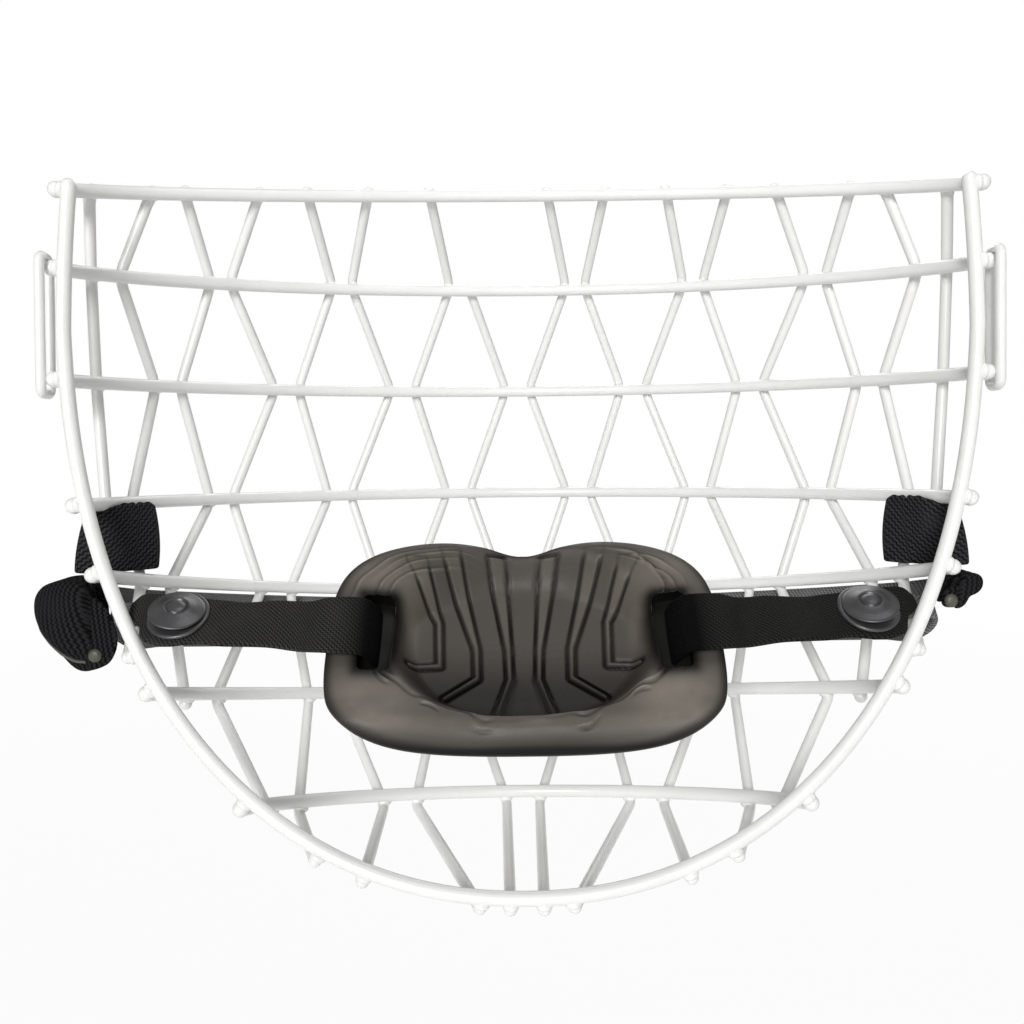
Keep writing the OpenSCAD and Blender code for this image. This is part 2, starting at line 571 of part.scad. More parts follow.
module fold_layers(drop) {
    t = side_strap_t;
    for (k = [0 : fold_count - 1]) {
        y = fold_y - k * fold_pitch;
        translate([0, y - t / 2, -drop]) cube([fold_reach, t, drop]);
        if (k < fold_count - 1) translate([0, y - fold_pitch - t / 2, k % 2 == 0 ? -drop : -t])
            cube([fold_reach, fold_pitch + t, t]);
    }
}
module outline_prism(outline) {
    rotate([90, 0, 0]) linear_extrude(height = 40, center = true) polygon(outline);
}
module side_fold(side) {
    outline = side < 0 ? fold_outline_left : fold_outline_right;
    tongue = side < 0 ? tongue_left : tongue_right;
    drop = -min([for (p = outline) p.y]);
    color("dimgray") on_side(side) translate([fold_x, 0, fold_top]) union() {
        intersection() {
            fold_layers(drop);
            outline_prism(outline);
        }
        translate([0, fold_y - (fold_count - 1) * fold_pitch, 0]) rotate([90, 0, 0])
            linear_extrude(height = side_strap_t, center = true) polygon(tongue);
    }
}
// Rivet on the end of the fold, on the side of the rim
module fold_rivet(side) {
    r = rivet_d / 2;
    place = side < 0 ? rivet_left : rivet_right;
    y = fold_y - (fold_count - 1) * fold_pitch - side_strap_t / 2;
    color("darkkhaki") on_side(side) translate([fold_x + place.x, y, fold_top + place.y]) rotate([90, 0, 0])
        rotate_extrude($fn = 32) polygon([[0, 0], [r, 0], [r, rivet_h * 0.4], [r * 0.7, rivet_h * 0.85],
            [r * 0.3, rivet_h], [0, rivet_h]]);
}

rim_wire();
cross_wire(0);  // brow_wire
cross_wire(1);  // cross_wire_1
cross_wire(2);  // cross_wire_2
cross_wire(3);  // cross_wire_3
cross_wire(4);  // cross_wire_4
cross_wire(5);  // cross_wire_5
cross_wire(6);  // cross_wire_6
zigzag_wire(0, -1);  // zigzag_left_a
zigzag_wire(1, -1);  // zigzag_left_b
zigzag_wire(2, -1);  // zigzag_left_c
zigzag_wire(3, -1);  // zigzag_left_d
zigzag_wire(4, -1);  // zigzag_left_e
zigzag_wire(5, -1);  // zigzag_left_f
zigzag_wire(6, -1);  // zigzag_left_g
zigzag_wire(0, 1);  // zigzag_right_a
zigzag_wire(1, 1);  // zigzag_right_b
zigzag_wire(2, 1);  // zigzag_right_c
zigzag_wire(3, 1);  // zigzag_right_d
zigzag_wire(4, 1);  // zigzag_right_e
zigzag_wire(5, 1);  // zigzag_right_f
zigzag_wire(6, 1);  // zigzag_right_g
upright(-1);  // upright_left
upright(1);  // upright_right
ear_loop(-1);  // ear_loop_left
ear_loop(1);  // ear_loop_right
chin_cup();
chin_strap();
outer_strap();
snap_cap(-1);  // snap_cap_left
snap_cap(1);  // snap_cap_right
snap_stud(-1);  // snap_stud_left
snap_stud(1);  // snap_stud_right
side_loop(-1);  // side_loop_left
side_loop(1);  // side_loop_right
side_fold(-1);  // side_fold_left
side_fold(1);  // side_fold_right
fold_rivet(-1);  // fold_rivet_left
fold_rivet(1);  // fold_rivet_right
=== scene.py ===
"""Face mask for a ringette helmet: dip-coated wire cage, moulded chin cup, webbing straps and snaps."""
import math

import bmesh
import bpy
import numpy as np
from mathutils import Matrix, Vector


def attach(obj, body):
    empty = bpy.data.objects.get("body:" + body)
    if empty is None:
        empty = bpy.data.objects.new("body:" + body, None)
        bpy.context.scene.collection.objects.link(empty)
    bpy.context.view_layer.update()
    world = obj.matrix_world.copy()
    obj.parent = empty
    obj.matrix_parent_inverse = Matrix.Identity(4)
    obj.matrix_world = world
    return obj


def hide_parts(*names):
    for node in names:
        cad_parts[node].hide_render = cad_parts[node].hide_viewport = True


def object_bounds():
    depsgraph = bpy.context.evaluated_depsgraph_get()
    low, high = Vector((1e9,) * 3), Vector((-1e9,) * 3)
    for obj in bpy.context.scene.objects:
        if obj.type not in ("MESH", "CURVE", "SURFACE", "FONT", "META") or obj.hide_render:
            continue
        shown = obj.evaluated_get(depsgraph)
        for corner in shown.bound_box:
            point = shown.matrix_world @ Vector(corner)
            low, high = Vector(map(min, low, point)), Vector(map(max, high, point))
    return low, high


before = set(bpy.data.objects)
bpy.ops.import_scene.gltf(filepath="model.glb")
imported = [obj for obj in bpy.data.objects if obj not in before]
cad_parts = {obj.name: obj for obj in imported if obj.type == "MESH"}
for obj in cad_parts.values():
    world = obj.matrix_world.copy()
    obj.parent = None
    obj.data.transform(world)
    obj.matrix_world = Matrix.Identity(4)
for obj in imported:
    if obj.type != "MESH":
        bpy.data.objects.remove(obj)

cad_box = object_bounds()

bl_info = {
    "name": "Ringette Face Mask",
    "version": (1, 0, 0),
    "blender": (4, 5, 0),
    "location": "View3D > Sidebar > Face Mask",
    "description": "Dresses a welded wire face mask with its coat, chin cup, straps and snaps",
    "category": "Object",
}

# Sizes and places are in millimetres, and MM turns them into the metres of the meshes
MM = 0.001
LEFT, RIGHT = -1, 1
SIDES = ((LEFT, "left"), (RIGHT, "right"))

# The brow wire and the six cross wires, from the top down: each one's forward reach, its height at the front
# and at the rim, the pitch of the zigzag pairs along it, and the gap between the two wires of a pair
BAR_REACH = [55.0, 76.7, 87.8, 91.1, 82.4, 64.1, 31.5]
BAR_FRONT_Z = [43.0, 19.5, -11.4, -44.9, -76.6, -105.5, -124.5]
BAR_RIM_Z = [30.8, 12.9, -12.3, -40.8, -56.2, -82.3, -106.6]
PAIR_PITCH = [34.6, 36.0, 37.3, 39.5, 39.8, 40.5, 34.0]
PAIR_GAP = [17.0, 6.5, 8.5, 8.4, 10.3, 10.8, 9.4]
# How much the pitch and the gap shrink towards the sides along the brow wire
BROW_PITCH_FALL = 0.9
BROW_GAP_FALL = 4.3
# An upright's distance from the end of each wire that it crosses, and its gap to the outermost zigzag wire
UPRIGHT_BACK = [13.7, 17.5, 19.7, 17.5]
UPRIGHT_GAP = 8.8
# The last cross wire that each zigzag wire meets, from the side inwards, and for those that reach the rim the
# place of that weld as a share of the rim's half width
LAST_BAR = [4, 5, 6, 6, 6, 6, 6]
RIM_WELD_SHARE = {0: 0.84, 3: 0.434, 4: 0.339, 5: 0.0954, 6: 0.0344}
# Roundness of the bows and of the rim, where 2 is an ellipse
BOW_POWER = 1.65
RIM_POWER = 2.15
# How far a zigzag wire's bend reaches along its legs, and how deep welded wires sink into each other
BEND_REACH = 3.0
WELD_SINK = 0.1
# How far a wire runs on past its last weld: a zigzag on a cross wire and on the rim, and an upright
TAIL, RIM_TAIL, UPRIGHT_TAIL = 3.0, 0.8, 1.0
# A weld bead's radius as a share of the wire's, on the light and the heavy wires, and its flatness
LIGHT_BEAD, HEAVY_BEAD, BEAD_FLATNESS = 1.42, 1.2, 0.62
# A point inside the cage: every wire's outer side points away from it
CAGE_HEART = np.array([0.0, -30.0, -40.0])

# Rim wire: widest half width and height, drop to the chin, rise to the temples, and its place front to back
RIM_HALF_WIDTH = 104.8
RIM_WIDE_Z = -1.7
RIM_DROP = 125.9
RIM_RISE = 35.2
RIM_TOP_INSET = 1.4
RIM_SIDE_Y = -2.5
RIM_CHIN_BACK = 19.0
RIM_TOP_LEAN = 3.5

# The chin cup's own frame: the middle that it rocks on, and the lean of its face
CUP_MIDDLE = Vector((0.0, -6.3, -70.6))
CUP_LEAN = 45.0
# A strap slot's place in the cup's frame, its opening and its length
SLOT_X, SLOT_Y, SLOT_GAP, SLOT_LENGTH = 33.7, -2.2, 7.0, 20.0
# A rib's top, kink, foot and the end of its arm, on the right, for the pairs from the middle outwards
RIB_LINES = [
    [(6.4, 22.6), (3.7, -0.4), (3.4, -8.4), (6.6, -18.0)],
    [(17.9, 23.6), (11.3, -0.2), (11.0, -8.2), (18.4, -13.6)],
    [(25.9, 19.8), (20.4, 6.7), (19.8, -5.1), (26.6, -5.8)],
]
RIB_HALF_WIDTHS = [1.9, 0.55, 0.5, 0.4]

# Middle of the chin strap's upper layer under the snaps, and the lean of its face there
SNAP_Y, SNAP_Z, SNAP_LEAN = -6.0, -67.6, 37.0
STRAP_GAP = 0.4
# How far a snap's cap tips up its face and in towards the chin on the strap that gives under it
CAP_TILT, CAP_TURN = 6.0, 9.0

# Side straps: how far back from the third cross wire's end their loops bend, how far in and out of it the two
# layers lie, and how high the loops stand over it and swing out below
LOOP_INNER, LOOP_OUTER = 25.5, 17.0
LOOP_IN, LOOP_OUT = 3.0, 5.4
LOOP_TOP, LOOP_SWING = 0.3, 4.0


class MaskWireSettings(bpy.types.PropertyGroup):
    """Wires of the cage"""
    heavy_d: bpy.props.FloatProperty(
        name="Heavy wire", description="Diameter of the rim, brow and cross wires with their coat",
        default=0.0033, min=0.0028, max=0.0038, subtype="DISTANCE", unit="LENGTH")
    light_d: bpy.props.FloatProperty(
        name="Light wire", description="Diameter of the zigzag and upright wires with their coat",
        default=0.0027, min=0.0022, max=0.0031, subtype="DISTANCE", unit="LENGTH")
    loop_d: bpy.props.FloatProperty(
        name="Ear loop wire", description="Diameter of the ear loop wire with its coat",
        default=0.0022, min=0.0018, max=0.0026, subtype="DISTANCE", unit="LENGTH")
    end_swell: bpy.props.FloatProperty(
        name="End swell", description="Swell of the coat on a wire's end, as a share of its diameter",
        default=1.14, min=1.0, max=1.3)
    coat: bpy.props.FloatVectorProperty(
        name="Coat", description="Colour of the dip coat",
        default=(0.83, 0.83, 0.815, 1.0), size=4, subtype="COLOR")


class MaskCupSettings(bpy.types.PropertyGroup):
    """Chin cup"""
    up: bpy.props.FloatProperty(
        name="Height above", description="Height of the cup above its slots' middle",
        default=0.0275, min=0.024, max=0.032, subtype="DISTANCE", unit="LENGTH")
    down: bpy.props.FloatProperty(
        name="Height below", description="Height of the cup below its slots' middle",
        default=0.031, min=0.026, max=0.034, subtype="DISTANCE", unit="LENGTH")
    panel_depth: bpy.props.FloatProperty(
        name="Panel depth", description="Depth of the sunken panel",
        default=0.009, min=0.006, max=0.011, subtype="DISTANCE", unit="LENGTH")
    wall: bpy.props.FloatProperty(
        name="Wall", description="Thickness of the cup's wall",
        default=0.005, min=0.004, max=0.007, subtype="DISTANCE", unit="LENGTH")
    rubber: bpy.props.FloatVectorProperty(
        name="Rubber", description="Colour of the moulded rubber",
        default=(0.058, 0.052, 0.044, 1.0), size=4, subtype="COLOR")
    # Colour of the rubber's pale bloom, which is also painted highlight on the lip, the panel's side walls,
    # the shoulders, the rib tops and the crease lines
    bloom_and_highlight_colour: bpy.props.FloatVectorProperty(
        name="Bloom", description="Colour of the pale bloom on the rubber's high places",
        default=(0.200, 0.175, 0.150, 1.0), size=4, subtype="COLOR")


class MaskStrapSettings(bpy.types.PropertyGroup):
    """Straps and snaps"""
    width: bpy.props.FloatProperty(
        name="Chin strap width", description="Width of the chin strap",
        default=0.015, min=0.013, max=0.017, subtype="DISTANCE", unit="LENGTH")
    side_width: bpy.props.FloatProperty(
        name="Side strap width", description="Width of the side straps",
        default=0.017, min=0.015, max=0.017, subtype="DISTANCE", unit="LENGTH")
    thickness: bpy.props.FloatProperty(
        name="Webbing thickness", description="Thickness of the webbing",
        default=0.0014, min=0.001, max=0.0016, subtype="DISTANCE", unit="LENGTH")
    snap_x: bpy.props.FloatProperty(
        name="Snap place", description="Place of the snaps to each side",
        default=0.0795, min=0.074, max=0.082, subtype="DISTANCE", unit="LENGTH")
    cap_d: bpy.props.FloatProperty(
        name="Snap cap", description="Diameter of a snap's cap",
        default=0.0126, min=0.010, max=0.014, subtype="DISTANCE", unit="LENGTH")
    chin_colour: bpy.props.FloatVectorProperty(
        name="Chin strap", description="Colour of the chin strap",
        default=(0.020, 0.0195, 0.0185, 1.0), size=4, subtype="COLOR")
    outer_colour: bpy.props.FloatVectorProperty(
        name="Outer strap", description="Colour of the strap that runs round the cage",
        default=(0.130, 0.130, 0.132, 1.0), size=4, subtype="COLOR")
    side_colour: bpy.props.FloatVectorProperty(
        name="Side straps", description="Colour of the side straps",
        default=(0.010, 0.010, 0.011, 1.0), size=4, subtype="COLOR")
    metal: bpy.props.FloatVectorProperty(
        name="Snap metal", description="Colour of the snaps",
        default=(0.075, 0.075, 0.078, 1.0), size=4, subtype="COLOR")
    piping: bpy.props.FloatVectorProperty(
        name="Piping", description="Colour of the corded edge on the left folded end",
        default=(0.150, 0.147, 0.135, 1.0), size=4, subtype="COLOR")


class MaskStageSettings(bpy.types.PropertyGroup):
    """Stage, light and camera"""
    focal_px: bpy.props.FloatProperty(
        name="Focal length", description="Focal length in pixels of a picture 1024 wide", default=900.0)
    floor_drop: bpy.props.FloatProperty(
        name="Floor", description="Depth of the floor below the mask's lowest point",
        default=0.16, min=0.0, max=1.0, subtype="DISTANCE", unit="LENGTH")
    key_power: bpy.props.FloatProperty(
        name="Key light", description="Power of the key light", default=35.0, min=0.0)
    world_level: bpy.props.FloatProperty(
        name="World", description="Level of the surrounding light", default=0.28, min=0.0, max=1.0)


# Meshes and objects

def finish_mesh(name, mesh, body, nodes=()):
    """Links a finished mesh, smooths its shading, lets it ride on its body and hides the CAD nodes it stands
    for
    """
    thing = bpy.data.objects.new(name, mesh)
    bpy.context.scene.collection.objects.link(thing)
    mesh.shade_smooth()
    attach(thing, body)
    if nodes:
        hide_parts(*nodes)
    return thing


def new_mesh(name, points, faces, uvs=None):
    """A mesh from points in metres, with one UV pair per face corner where they are given"""
    mesh = bpy.data.meshes.new(name)
    mesh.from_pydata([tuple(p) for p in points], [], [tuple(f) for f in faces])
    mesh.update()
    if uvs is not None:
        layer = mesh.uv_layers.new(name="weave")
        layer.data.foreach_set("uv", np.asarray(uvs, np.float32).ravel())
    mesh.validate()
    return mesh


def skin(rows, around):
    """Faces between rows of points, where each row is a ring of the same number of points"""
    faces = []
    for i in range(rows - 1):
        for j in range(around):
            a, b = i * around + j, i * around + (j + 1) % around
            faces.append((a, b, b + around, a + around))
    return faces


def end_faces(rows, around):
    """The two faces that close a skin at its first and its last row"""
    return [tuple(reversed(range(around))), tuple((rows - 1) * around + j for j in range(around))]


def paint(thing, material):
    """Gives a piece its one material"""
    thing.data.materials.clear()
    thing.data.materials.append(material)


# Wire paths, in millimetres

def unit(v):
    """A vector made one long"""
    return v / np.linalg.norm(v)


def to_side(points, side):
    """Points of the right side, put on the side asked for"""
    return np.asarray(points) * np.array([side, 1.0, 1.0])


def rim_at(z):
    """The rim's middle line at a height, on the right"""
    fall = min(1.0, max(0.0, (RIM_WIDE_Z - z) / RIM_DROP))
    climb = max(0.0, (z - RIM_WIDE_Z) / RIM_RISE)
    x = RIM_HALF_WIDTH * (1 - fall ** RIM_POWER) ** (1 / RIM_POWER) - RIM_TOP_INSET * climb ** 2
    return np.array([x, RIM_SIDE_Y - RIM_CHIN_BACK * fall ** 2 + RIM_TOP_LEAN * climb, z])


def rim_z(x):
    """Height of the lower half of the rim at a distance from the middle"""
    return RIM_WIDE_Z - RIM_DROP * (1 - (x / RIM_HALF_WIDTH) ** RIM_POWER) ** (1 / RIM_POWER)


def rim_tangent(z):
    """Direction of the rim at a height"""
    return unit(rim_at(z + 0.2) - rim_at(z - 0.2))


def bow_turn(k):
    """Degrees round a bow for steps from 0 at its front to 60 at its end, which lie closer towards the end"""
    return 90 * math.sin(math.radians(k * 1.5))


class Bow:
    """One cross wire: where it crosses the rim, and the bow that it follows from there to the front"""

    def __init__(self, index, radius, overhang=1.0):
        z = BAR_RIM_Z[index]
        t = rim_tangent(z)
        out = unit(np.array([t[2], 0.0, -t[0]]))
        self.cross = rim_at(z) + (2 * radius - WELD_SINK) * out
        self.end_y = self.cross[1] - overhang
        self.depth = BAR_REACH[index] - self.end_y
        share = overhang / self.depth
        self.half = self.cross[0] / math.sqrt(1 - share ** BOW_POWER)
        self.front_z = BAR_FRONT_Z[index]
        self.end_z = (self.cross[2] - self.front_z * share) / (1 - share)
        self.line = np.array([self.at(bow_turn(k)) for k in range(61)])
        steps = np.linalg.norm(np.diff(self.line, axis=0), axis=1)
        self.run = np.concatenate([[0.0], np.cumsum(steps)])
        self.length = self.run[-1]

    def at(self, turn):
        """Place on the bow at a turn in degrees from its front"""
        rise = max(0.0, math.cos(math.radians(turn))) ** (2 / BOW_POWER)
        z = self.end_z * (1 - rise) + self.front_z * rise
        return np.array([self.half * math.sin(math.radians(turn)), self.end_y + self.depth * rise, z])

    def point(self, s):
        """Place on the bow at a distance along it from its front"""
        return np.array([np.interp(s, self.run, self.line[:, axis]) for axis in range(3)])

    def tangent(self, s):
        """Direction of the bow there"""
        return unit(self.point(s + 0.5) - self.point(s - 0.5))


def bend_at(bows, i, w):
    """Distance along cross wire i at which zigzag wire w, counted from the side, bends"""
    odd = i % 2 == 1
    if w == 0 and odd:
        return bows[i].length - UPRIGHT_BACK[min(i, 3)] - UPRIGHT_GAP
    pair = (6 - w) // 2 + 0.5 if odd else (7 - w) // 2
    outer = w % 2 == 1 if odd else w % 2 == 0
    fall = BROW_PITCH_FALL if i == 0 else 0.0
    gap = PAIR_GAP[i] - (BROW_GAP_FALL if i == 0 else 0.0) * (max(1, pair) - 1)
    return PAIR_PITCH[i] * pair - fall * pair * pair + gap / 2 * (1 if outer else -1)


def outward(n, place):
    """A direction turned so that it points out of the cage"""
    return -n if n @ (place - CAGE_HEART) < 0 else n


def lifted(line, tangents, lift):
    """Points set outwards from the wires that they are welded to, with the direction of each weld"""
    points, normals = [], []
    for k, place in enumerate(line):
        ahead = unit(line[min(k + 1, len(line) - 1)] - line[max(k - 1, 0)])
        n = outward(unit(np.cross(tangents[k], ahead)), place)
        points.append(place + lift * n)
        normals.append(n)
    return points, normals


def rounded(line, reach=BEND_REACH, steps=6):
    """A path whose corners are smooth bends that pass through the corner points"""
    path = [line[0]]
    for k in range(1, len(line) - 1):
        back = unit(line[k - 1] - line[k])
        front = unit(line[k + 1] - line[k])
        corner = line[k] - reach / 4 * (back + front)
        for j in range(steps + 1):
            t = j / steps
            path.append(corner + reach * ((1 - t) ** 2 * back + t * t * front))
    path.append(line[-1])
    return path


def run_out(line, over):
    """A path whose last leg is carried on by a distance"""
    return list(line) + [line[-1] + over * unit(line[-1] - line[-2])]


def balled(path, radius, swell, steps=6):
    """Path points with a radius share each: both ends close in a ball that is fuller than the wire"""
    path = [np.asarray(p) for p in path]
    ball = radius * swell
    # The coat swells to the ball's full radius and then narrows to the wire over a neck, along which the path
    # keeps no points of its own
    neck = 2.1 * ball
    ends = []
    for tip, after in ((path[0], path[1]), (path[-1], path[-2])):
        inward = unit(after - tip)
        ring = []
        for k in range(steps + 1):
            a = math.radians(90 * k / steps)
            ring.append((tip + inward * ball * (1 - math.cos(a)), swell * max(0.04, math.sin(a))))
        ring.append((tip + inward * ball * 1.35, swell * 0.985))
        ring.append((tip + inward * ball * 1.8, 1.02))
        ends.append(ring)
    body = [(p, 1.0) for p in path[1:-1]
            if min(np.linalg.norm(p - path[0]), np.linalg.norm(p - path[-1])) > neck]
    rows = ends[0] + body + ends[1][::-1]
    return [p for p, share in rows], [share for p, share in rows]


# Geometry node trees

def socket(tree, name, kind, default=None, low=None, out=False):
    """Adds a named input or output to a node group"""
    item = tree.interface.new_socket(name=name, in_out="OUTPUT" if out else "INPUT", socket_type=kind)
    if default is not None:
        item.default_value = default
    if low is not None:
        item.min_value = low
    return item


def named(tree, name, kind):
    """A value that the points carry under a name"""
    node = tree.nodes.new("GeometryNodeInputNamedAttribute")
    node.data_type = kind
    node.inputs["Name"].default_value = name
    return node.outputs["Attribute"]


def last_nodes(tree, shape, group_in, group_out):
    """Every tree ends in Realize Instances and Set Material"""
    smooth = tree.nodes.new("GeometryNodeSetShadeSmooth")
    real = tree.nodes.new("GeometryNodeRealizeInstances")
    dress = tree.nodes.new("GeometryNodeSetMaterial")
    tree.links.new(shape, smooth.inputs["Geometry"])
    tree.links.new(smooth.outputs["Geometry"], real.inputs["Geometry"])
    tree.links.new(real.outputs["Geometry"], dress.inputs["Geometry"])
    tree.links.new(group_in.outputs["Material"], dress.inputs["Material"])
    tree.links.new(dress.outputs["Geometry"], group_out.inputs["Geometry"])


def wire_tree():
    """A round wire along a path whose points carry their share of the radius"""
    tree = bpy.data.node_groups.new("coated_wire", "GeometryNodeTree")
    socket(tree, "Geometry", "NodeSocketGeometry")
    socket(tree, "Radius", "NodeSocketFloat", 0.0015, 0.0)
    socket(tree, "Sides", "NodeSocketInt", 20, 6)
    socket(tree, "Closed", "NodeSocketBool", False)
    socket(tree, "Material", "NodeSocketMaterial")
    socket(tree, "Geometry", "NodeSocketGeometry", out=True)
    group_in = tree.nodes.new("NodeGroupInput")
    group_out = tree.nodes.new("NodeGroupOutput")
    curve = tree.nodes.new("GeometryNodeMeshToCurve")
    tree.links.new(group_in.outputs["Geometry"], curve.inputs["Mesh"])
    profile = tree.nodes.new("GeometryNodeCurvePrimitiveCircle")
    tree.links.new(group_in.outputs["Sides"], profile.inputs["Resolution"])
    tree.links.new(group_in.outputs["Radius"], profile.inputs["Radius"])
    tube = tree.nodes.new("GeometryNodeCurveToMesh")
    tree.links.new(curve.outputs["Curve"], tube.inputs["Curve"])
    tree.links.new(profile.outputs["Curve"], tube.inputs["Profile Curve"])
    tree.links.new(named(tree, "share", "FLOAT"), tube.inputs["Scale"])
    caps = tree.nodes.new("FunctionNodeBooleanMath")
    caps.operation = "NOT"
    tree.links.new(group_in.outputs["Closed"], caps.inputs[0])
    tree.links.new(caps.outputs[0], tube.inputs["Fill Caps"])
    last_nodes(tree, tube.outputs["Mesh"], group_in, group_out)
    return tree


def bead_tree():
    """A flattened bead of coat on every point, across the direction that the point carries"""
    tree = bpy.data.node_groups.new("weld_beads", "GeometryNodeTree")
    socket(tree, "Geometry", "NodeSocketGeometry")
    socket(tree, "Flatness", "NodeSocketFloat", 0.7, 0.1)
    socket(tree, "Segments", "NodeSocketInt", 16, 6)
    socket(tree, "Material", "NodeSocketMaterial")
    socket(tree, "Geometry", "NodeSocketGeometry", out=True)
    group_in = tree.nodes.new("NodeGroupInput")
    group_out = tree.nodes.new("NodeGroupOutput")
    points = tree.nodes.new("GeometryNodeMeshToPoints")
    tree.links.new(group_in.outputs["Geometry"], points.inputs["Mesh"])
    bead = tree.nodes.new("GeometryNodeMeshUVSphere")
    bead.inputs["Rings"].default_value = 10
    bead.inputs["Radius"].default_value = 1.0
    tree.links.new(group_in.outputs["Segments"], bead.inputs["Segments"])
    flat = tree.nodes.new("ShaderNodeCombineXYZ")
    flat.inputs["X"].default_value = 1.0
    flat.inputs["Y"].default_value = 1.0
    tree.links.new(group_in.outputs["Flatness"], flat.inputs["Z"])
    size = tree.nodes.new("ShaderNodeVectorMath")
    size.operation = "SCALE"
    tree.links.new(flat.outputs["Vector"], size.inputs["Vector"])
    tree.links.new(named(tree, "size", "FLOAT"), size.inputs["Scale"])
    turn = tree.nodes.new("FunctionNodeAlignRotationToVector")
    turn.axis = "Z"
    tree.links.new(named(tree, "across", "FLOAT_VECTOR"), turn.inputs["Vector"])
    place = tree.nodes.new("GeometryNodeInstanceOnPoints")
    tree.links.new(points.outputs["Points"], place.inputs["Points"])
    tree.links.new(bead.outputs["Mesh"], place.inputs["Instance"])
    tree.links.new(turn.outputs["Rotation"], place.inputs["Rotation"])
    tree.links.new(size.outputs["Vector"], place.inputs["Scale"])
    last_nodes(tree, place.outputs["Instances"], group_in, group_out)
    return tree


def apply_tree(thing, tree, values):
    """Runs a node tree on an object with the values given by input name, and keeps the plain result"""
    modifier = thing.modifiers.new(tree.name, "NODES")
    modifier.node_group = tree
    keys = {item.name: item.identifier for item in tree.interface.items_tree if item.in_out == "INPUT"}
    for name, value in values.items():
        modifier[keys[name]] = value
    bpy.context.view_layer.update()
    evaluated = thing.evaluated_get(bpy.context.evaluated_depsgraph_get())
    mesh = bpy.data.meshes.new_from_object(evaluated)
    thing.modifiers.clear()
    old = thing.data
    thing.data = mesh
    bpy.data.meshes.remove(old)
    return thing


def path_object(name, path, shares, closed=False):
    """A path in metres as a mesh of edges whose points carry their share of the wire's radius"""
    n = len(path)
    edges = [(k, k + 1) for k in range(n - 1)] + ([(n - 1, 0)] if closed else [])
    mesh = bpy.data.meshes.new(name)
    mesh.from_pydata([tuple(np.asarray(p) * MM) for p in path], edges, [])
    mesh.attributes.new("share", "FLOAT", "POINT").data.foreach_set("value", np.asarray(shares, np.float32))
    thing = bpy.data.objects.new(name, mesh)
    bpy.context.scene.collection.objects.link(thing)
    return thing


# Shader node groups and materials

def shader_group(name, inputs, outputs):
    """An empty shader node group with its named inputs and outputs"""
    group = bpy.data.node_groups.new(name, "ShaderNodeTree")
    for label, kind, default in inputs:
        socket(group, label, kind, default)
    for label, kind in outputs:
        socket(group, label, kind, out=True)
    return group, group.nodes.new("NodeGroupInput"), group.nodes.new("NodeGroupOutput")


def math_node(tree, operation, a, b=None, clamp=False):
    """One step of arithmetic on sockets or numbers"""
    node = tree.nodes.new("ShaderNodeMath")
    node.operation = operation
    node.use_clamp = clamp
    for k, value in enumerate([a] if b is None else [a, b]):
        if hasattr(value, "is_output"):
            tree.links.new(value, node.inputs[k])
        else:
            node.inputs[k].default_value = value
    return node.outputs[0]


def noise(tree, vector, scale, detail=2.0, rough=0.5):
    """Noise whose scale is a number or a socket"""
    node = tree.nodes.new("ShaderNodeTexNoise")
    if hasattr(scale, "is_output"):
        tree.links.new(scale, node.inputs["Scale"])
    else:
        node.inputs["Scale"].default_value = scale
    node.inputs["Detail"].default_value = detail
    node.inputs["Roughness"].default_value = rough
    tree.links.new(vector, node.inputs["Vector"])
    return node.outputs["Fac"]


def span(tree, value, from_low, from_high, to_low, to_high):
    """A value eased from one range into another"""
    node = tree.nodes.new("ShaderNodeMapRange")
    node.interpolation_type = "SMOOTHSTEP"
    tree.links.new(value, node.inputs["Value"])
    for key, number in (("From Min", from_low), ("From Max", from_high),
                        ("To Min", to_low), ("To Max", to_high)):
        node.inputs[key].default_value = number
    return node.outputs["Result"]


def colour_mix(tree, factor, a, b):
    """A mix of two colours, each four numbers or a socket"""
    node = tree.nodes.new("ShaderNodeMix")
    node.data_type = "RGBA"
    tree.links.new(factor, node.inputs["Factor"])
    for key, value in (("A", a), ("B", b)):
        place = [s for s in node.inputs if s.name == key and s.type == "RGBA"][0]
        if hasattr(value, "is_output"):
            tree.links.new(value, place)
        else:
            place.default_value = value
    return [s for s in node.outputs if s.type == "RGBA"][0]


def ridges(tree, value):
    """A rounded ridge for each whole step of a value"""
    return math_node(tree, "ABSOLUTE", math_node(tree, "SINE", math_node(tree, "MULTIPLY", value, math.pi)))


def weave_group():
    """Webbing: warp and weft threads on the piece's own UV map, whose unit is a metre"""
    group, start, end = shader_group(
        "webbing_weave",
        [("Thread", "NodeSocketFloat", 0.0006), ("Slant", "NodeSocketFloat", 1.0),
         ("Fuzz", "NodeSocketFloat", 0.3)],
        [("Height", "NodeSocketFloat"), ("Shade", "NodeSocketFloat")])
    uv = group.nodes.new("ShaderNodeUVMap")
    uv.uv_map = "weave"
    split = group.nodes.new("ShaderNodeSeparateXYZ")
    group.links.new(uv.outputs["UV"], split.inputs["Vector"])
    along = math_node(group, "DIVIDE", split.outputs["X"], start.outputs["Thread"])
    across = math_node(group, "DIVIDE", split.outputs["Y"], start.outputs["Thread"])
    slanted = math_node(group, "ADD", along, math_node(group, "MULTIPLY", across, start.outputs["Slant"]))
    twill = math_node(group, "SINE", math_node(group, "MULTIPLY", slanted, math.pi))
    warp, weft = ridges(group, across), ridges(group, along)
    threads = math_node(group, "MULTIPLY", warp, weft)
    raised = math_node(group, "ADD", math_node(group, "MULTIPLY", twill, 0.5), threads)
    fuzz = noise(group, uv.outputs["UV"], 2600.0, 2.0, 0.6)
    height = math_node(group, "ADD", raised, math_node(group, "MULTIPLY", fuzz, start.outputs["Fuzz"]))
    group.links.new(height, end.inputs["Height"])
    # Shade is the height eased into a share, for painted shade between the threads and painted highlight on
    # them
    group.links.new(span(group, height, -0.2, 1.4, 0.0, 1.0), end.inputs["Shade"])
    return group


